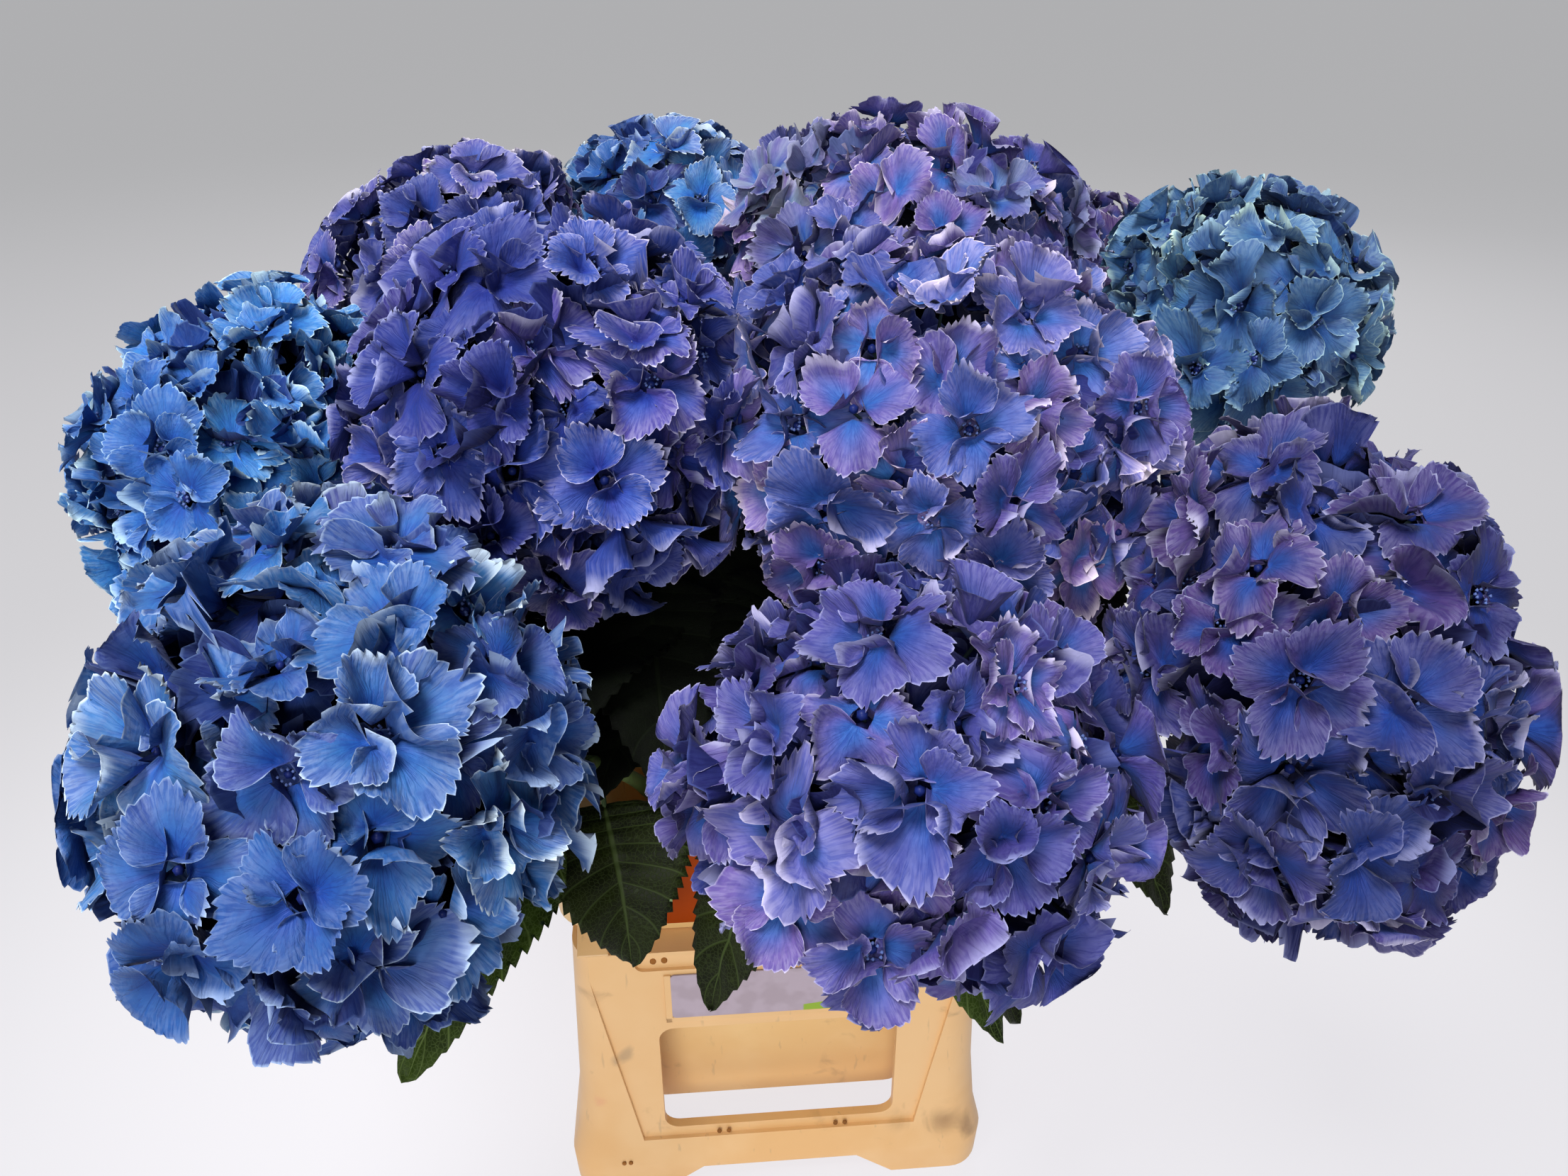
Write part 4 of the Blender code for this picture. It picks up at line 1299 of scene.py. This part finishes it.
def build_bucket(cream):
    """The bucket with its wider collar and the band round its rim."""
    bucket = solid("bucket_shell", moulding(BODY_OUTSIDE, BUCKET_CORNER), cream)
    rings = (NECK_OUTSIDE, COLLAR_OUTSIDE, RIM_OUTSIDE)
    combine(bucket, "UNION", (moulding(ring, BUCKET_CORNER) for ring in rings))
    insides = (BODY_INSIDE, COLLAR_INSIDE)
    combine(bucket, "DIFFERENCE", (moulding(inside, INSIDE_CORNER) for inside in insides))
    settle(soften(bucket, 0.0010), "cream_plastic", "bucket")


def build_sheet(name, surface, half, levels, thick, corner, edge, material):
    """A thin sheet with rounded corners against the front, whose half depth surface gives."""
    rows = []
    for z in levels:
        back = -(surface(z) + GAP)
        rows.append((*both(half), back - thick, back, z))
    return soften(solid(name, round_edges(tapered_box(*rows), 1, corner), material), edge)


MARK_RISE = 0.0006


def build_moulding_marks(material):
    """Small oval marks of the mould: on the slot's floor, the lower ledge and the left foot."""
    shapes = []
    points, triangles = icosphere(2)
    slot_y = face_y(SLOT_LEVELS[0]) - SLOT_DEPTH
    spots = [(-0.0785, slot_y, 0.2062, 0.0021), (-0.0715, slot_y, 0.2066, 0.0021)]
    for x in (-0.0415, -0.0350, 0.0385, 0.0450):
        spots.append((x, 0.1973, 0.0492, 0.0017))
    spots += [(-0.1075, 0.2036, 0.0300, 0.0016), (-0.1030, 0.2036, 0.0300, 0.0016)]
    for x, y, z, radius in spots:
        size = np.array((radius, MARK_RISE, radius * 1.3))
        shapes.append((points * size + np.array((x, -y, z)) + np.array(BUCKET), triangles))
    made = mesh_object("mould_marks", *join_shapes(shapes), material)
    return settle(made, "cream_plastic")


# What turns cream to its warmer patches, channel by channel.
WARMTH = (0.90, 0.78, 0.58)
GRIME = (150, 112, 74)
SCUFF = (118, 104, 92)
# Single spots on the bucket's front: place, size, colour and strength. The first three are
# stains; the brown ones low down darken the lower right end and the left foot.
FRONT_SPOTS = (
    ((-0.124, -0.203, 0.088), 0.007, (214, 120, 104), 0.55),
    ((-0.127, -0.203, 0.104), 0.008, (130, 112, 90), 0.45),
    ((-0.101, -0.198, 0.128), 0.007, (126, 108, 88), 0.45),
    ((0.082, -0.204, 0.050), 0.016, (132, 94, 54), 0.70),
    ((0.112, -0.204, 0.047), 0.020, (132, 94, 54), 0.75),
    ((0.134, -0.200, 0.040), 0.014, (120, 84, 50), 0.65),
    ((-0.136, -0.200, 0.060), 0.010, (150, 104, 62), 0.50),
)


def plastic_material(name, colour):
    """Worn plastic: faint patches, warmer and darker towards the bottom, grime blots, a few scuffs
    and stains.
    """
    n = Nodes(name, 0.42)
    place = n.place()
    cream = linear(colour)
    warm = [c * f for c, f in zip(cream, WARMTH)] + [1.0]
    patch = n.noise(place, 16.0, 3.0)
    # Warmer and darker towards the bottom, in patches.
    low_down = n.span(n.split(place)[2], 0.02, 0.16, 0.45, 0.0)
    tone = n.mix(n.times(n.span(patch, 0.35, 0.7), 0.30), cream, warm)
    tone = n.mix(n.times(low_down, n.span(patch, 0.3, 0.6)), tone, warm)
    blots = n.noise(place, 38.0, 5.0, 0.6)
    tone = n.mix(n.span(blots, 0.62, 0.78, 0.0, 0.5), tone, linear(GRIME))
    scuffs = n.noise(n.vector("MULTIPLY", place, (90, 90, 14))[0], 2.0, 3.0)
    tone = n.mix(n.span(scuffs, 0.66, 0.74, 0.0, 0.22), tone, linear(SCUFF))
    wobble = n.times(n.minus(blots, 0.5), 0.03)
    for spot, size, spot_tone, most in FRONT_SPOTS:
        away = n.math("ADD", n.vector("DISTANCE", place, spot)["Value"], wobble)
        tone = n.mix(n.span(away, 0.0, size, most, 0.0), tone, linear(spot_tone))
    n.bump(n.math("ADD", n.noise(place, 900.0, 2.0), n.times(patch, 3.0)), 0.10, 0.0004)
    return n.finish(tone)


def card_material():
    """Lavender grey card with one plain green lower corner."""
    n = Nodes("card_print", 0.55)
    across, _, height = n.split(n.place())
    edge = n.math("ADD", 0.1655, n.times(n.minus(across, 0.018), 0.12))
    under = n.span(n.minus(edge, height), -0.0003, 0.0003)
    corner = n.times(under, n.span(across, 0.0150, 0.0165))
    patch = n.span(n.noise(n.place(), 60.0), 0.4, 0.6)
    paper = n.mix(patch, linear((176, 160, 172)), linear((166, 150, 160)))
    return n.finish(n.mix(corner, paper, linear((138, 170, 34))))


def build_flowers():
    """The blooms, with the stalks, buds, anthers and the hearts of them all, dark with painted
    shade.
    """
    materials = {name: petal_material("petals_" + name, name) for name in PALETTES}
    stalk = plain_material("floret_stalk", (30, 42, 46), 0.8)
    stalks, beads = [], []
    for seed, bloom in enumerate(BLOOMS, FIRST_SEED):
        build_bloom(bloom, seed, materials[bloom.palette], stalks, beads)
    settle(build_stalks(stalks, stalk), "stem")
    pollen = plain_material("floret_anther", (86, 104, 160), 0.6)
    build_beads(beads, plain_material("floret_bead", (22, 34, 92), 0.4), pollen)
    # The hearts' near-black colour is painted shade.
    settle(build_hearts(plain_material("bloom_heart", (6, 7, 20), 0.95)), "petals_violet")


def build_greens():
    """The stems and the leaves."""
    bark = stem_material()
    for bloom in BLOOMS:
        build_stem(bloom.name, bark)
    top = leaf_material("leaf_top", (26, 33, 3), (56, 69, 32), 0.5)
    underside = leaf_material("leaf_underside", (104, 134, 88), (150, 170, 120), 0.65)
    # A lighter copy of the leaf colour: painted light on the small leaves under the front blooms.
    painted_light_top = leaf_material("leaf_open", (50, 68, 16), (88, 106, 54), 0.5)
    # Near-black leaf colour: painted shade, for the leaves named shaded and those inside the crown.
    shaded = leaf_material("leaf_shaded", (8, 13, 4), (14, 20, 7), 0.8)
    for leaf in LEAVES:
        sides = (shaded, shaded) if leaf.name.startswith("shaded") else (top, underside)
        build_leaf(leaf, *sides)
    for leaf in UNDER_LEAVES:
        build_leaf(leaf, painted_light_top, underside)
    for leaf in INNER_LEAVES:
        build_leaf(leaf, shaded, shaded)


def build_container():
    """The bucket with its skirt, its orange panel, its card and its marks."""
    build_skirt(plastic_material("skirt_plastic", (229, 186, 131)))
    # A lighter copy of the cream: painted light on the bucket, whose wall stands in the skirt's
    # shade.
    build_bucket(plastic_material("bucket_plastic", (234, 195, 133)))
    # An orange sheet on the collar below the rim.
    orange = plain_material("orange_paint", (176, 68, 4), 0.60, 0.12, 18.0, 0.05)
    panel = build_sheet("panel_sheet", collar_y, *PANEL, orange)
    settle(panel, "orange_panel", "colour_panel")
    settle(build_sheet("card_sheet", face_y, *CARD, card_material()), "card", "card")
    build_moulding_marks(plain_material("mould_mark", (150, 96, 44), 0.6))


build_camera()
build_floor()
build_light()
build_flowers()
build_greens()
build_container()
